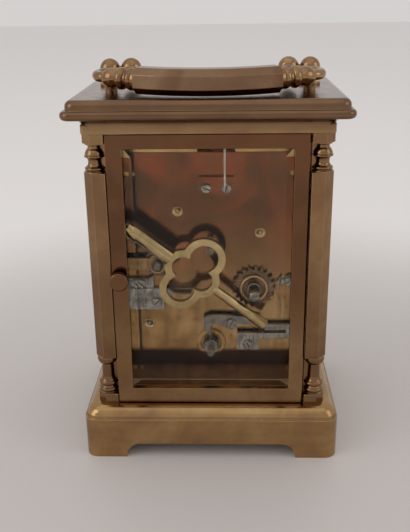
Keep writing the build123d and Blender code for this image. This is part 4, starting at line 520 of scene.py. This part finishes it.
def addTurned(work, section, close, steps, place):
    # a section in millimetres, radius and height, spun about the pivot
    fresh = bmesh.new()
    corners = [fresh.verts.new((radius * mm, 0, height * mm)) for radius, height in section]
    rims = [fresh.edges.new(pair) for pair in zip(corners, corners[1:])]
    if close:
        rims.append(fresh.edges.new((corners[-1], corners[0])))
    bmesh.ops.spin(fresh, geom=corners + rims, cent=(0, 0, 0), axis=(0, 0, 1), angle=math.tau, steps=steps,
                   use_merge=True)
    bmesh.ops.remove_doubles(fresh, verts=fresh.verts, dist=weldGap)
    bmesh.ops.holes_fill(fresh, edges=[e for e in fresh.edges if e.is_boundary])
    bmesh.ops.transform(fresh, matrix=place, verts=fresh.verts)
    mesh = bpy.data.meshes.new("turned")
    fresh.to_mesh(mesh)
    fresh.free()
    work.from_mesh(mesh)
    bpy.data.meshes.remove(mesh)


def makeBushes(look):
    work = bmesh.new()
    for place in look["places"]:
        addTurned(work, look["section"], True, look["steps"], onBack(place))
    for place in look["stub"]["places"]:
        addTurned(work, look["stub"]["section"], False, look["steps"], onBack(place))
    return finishPiece("pivotBushes", work, bushBrass, "case")


makeBushes(bushes)
print("bushes pressed into the back plate")

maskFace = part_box("dial_mask")[0].y
bezels = {"places": [(0.0, 65.7, 21.05), (0.0, 31.7, 7.65)], "steps": 96,
          "section": [(0.0, 0.0), (0.0, 0.55), (0.2, 0.75), (0.5, 0.75), (0.85, 0.35), (0.95, 0.0)]}


def makeBezels(look):
    # turned rings that hide the enamel's cut edge, each section set out from its dial's radius
    work = bmesh.new()
    for across, up, radius in look["places"]:
        section = [(radius + out, height) for out, height in look["section"]]
        addTurned(work, section, True, look["steps"], onDial((across * mm, up * mm), maskFace))
    return finishPiece("dialBezels", work, paleBrass, "case")


makeBezels(bezels)

coil = {"turns": 7, "pointsPerTurn": 28, "inner": 1.25 * mm, "outer": 3.5 * mm,
        "strip": 0.03 * mm, "tall": 0.05 * mm}


def makeHairspring(look):
    # a fine flat strip wound in even turns about the balance staff, at the CAD spring's height
    low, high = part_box("hairspring")
    wheelLow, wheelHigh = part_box("balance_wheel")
    curve = bpy.data.curves.new("hairspringCoil", "CURVE")
    curve.dimensions = "2D"
    curve.fill_mode = "NONE"
    curve.extrude = look["tall"]
    curve.bevel_depth = look["strip"]
    curve.bevel_resolution = 1
    spline = curve.splines.new("POLY")
    last = look["turns"] * look["pointsPerTurn"]
    spline.points.add(last)
    for step, point in enumerate(spline.points):
        turn = math.tau * step / look["pointsPerTurn"]
        radius = look["inner"] + (look["outer"] - look["inner"]) * step / last
        point.co = (radius * math.cos(turn), radius * math.sin(turn), 0, 1)
    setter = bpy.data.objects.new("hairspringCoil", curve)
    mesh = bpy.data.meshes.new_from_object(setter)
    middle = (wheelLow + wheelHigh) / 2
    mesh.transform(Matrix.Translation((middle.x, middle.y, (low.z + high.z) / 2)))
    work = bmesh.new()
    work.from_mesh(mesh)
    bpy.data.objects.remove(setter)
    bpy.data.curves.remove(curve)
    bpy.data.meshes.remove(mesh)
    piece = finishPiece("hairspringCoil", work, bluedSteel, "case")
    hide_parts("hairspring")


makeHairspring(coil)
print("bezels and hairspring made")


# pale table top, plain, with painted shade near the clock and painted light further off, lighter away from
# the clock
floorLook = {"size": 6.0, "near": [(0.3, "#cdc7c5"), (0.7, "#d5d0cd")], "far": "#f2efed", "fromMm": 105.0,
             "toMm": 260.0, "cloudMm": 240.0, "roughness": 0.5, "cells": 4}


def makeFloor(look):
    material, tree = newMaterial("honedPaleStone")  # a quiet, faintly clouded matt white
    place = objectPlace(tree)
    near = colourRamp(tree, cloudNoise(tree, place, look["cloudMm"], 3.0), look["near"])
    away = addNode(tree, "ShaderNodeVectorMath", {0: place}, operation="LENGTH").outputs["Value"]
    border = (look["fromMm"] * mm, look["toMm"] * mm)
    spread = remap(tree, away, border, (0.0, 1.0), interpolation_type="SMOOTHSTEP")
    colour = mixColour(tree, spread, near, hexColour(look["far"]))
    addSurface(tree, {"Base Color": colour, "Roughness": look["roughness"]})
    work = bmesh.new()
    bmesh.ops.create_grid(work, x_segments=look["cells"], y_segments=look["cells"], size=look["size"] / 2)
    mesh = bpy.data.meshes.new("floor")
    work.to_mesh(mesh)
    work.free()
    mesh.materials.append(material)
    floor = bpy.data.objects.new("floor", mesh)
    bpy.context.scene.collection.objects.link(floor)


makeFloor(floorLook)

roomLook = {"colour": "#e2dfdd", "strength": 0.86, "aim": (0, 0, 0.06)}
lamps = [
    {"name": "ceilingSoftbox", "place": (0.15, 0.25, 1.1), "size": 1.5, "watts": 2.0},
    {"name": "leftWindow", "place": (0.9, 0.5, 0.55), "size": 0.7, "watts": 2.0},
    {"name": "rightFill", "place": (-0.9, 0.35, 0.5), "size": 0.6, "watts": 1.0},
]


def lightRoom(look, lampList):
    world = bpy.data.worlds.new("paleRoom")
    world.use_nodes = True
    tree = world.node_tree
    tree.nodes.clear()
    light = addNode(tree, "ShaderNodeBackground", {"Color": hexColour(look["colour"]),
                                                   "Strength": look["strength"]})
    addNode(tree, "ShaderNodeOutputWorld", {"Surface": light.outputs[0]})
    bpy.context.scene.world = world
    for lamp in lampList:
        data = bpy.data.lights.new(lamp["name"], "AREA")
        data.size = lamp["size"]
        data.energy = lamp["watts"]
        holder = bpy.data.objects.new(lamp["name"], data)
        holder.location = lamp["place"]
        aim = Vector(look["aim"]) - Vector(lamp["place"])
        holder.rotation_euler = aim.to_track_quat("-Z", "Y").to_euler()
        bpy.context.scene.collection.objects.link(holder)


lightRoom(roomLook, lamps)

cameraLook = {"place": (-5.958 * mm, 236.517 * mm, 140.568 * mm), "turn": (69.53026, 0.730754, -178.279768),
              "lens": 50.4245, "sensor": 36.0, "nearest": 0.01}


def setCamera(look):
    data = bpy.data.cameras.new("camera")
    data.lens = look["lens"]
    data.sensor_width = look["sensor"]
    data.clip_start = look["nearest"]
    camera = bpy.data.objects.new("camera", data)
    camera.location = look["place"]
    camera.rotation_euler = [math.radians(a) for a in look["turn"]]
    bpy.context.scene.collection.objects.link(camera)
    bpy.context.scene.camera = camera


setCamera(cameraLook)
bpy.context.scene.view_settings.view_transform = "Standard"
print("room and camera set")
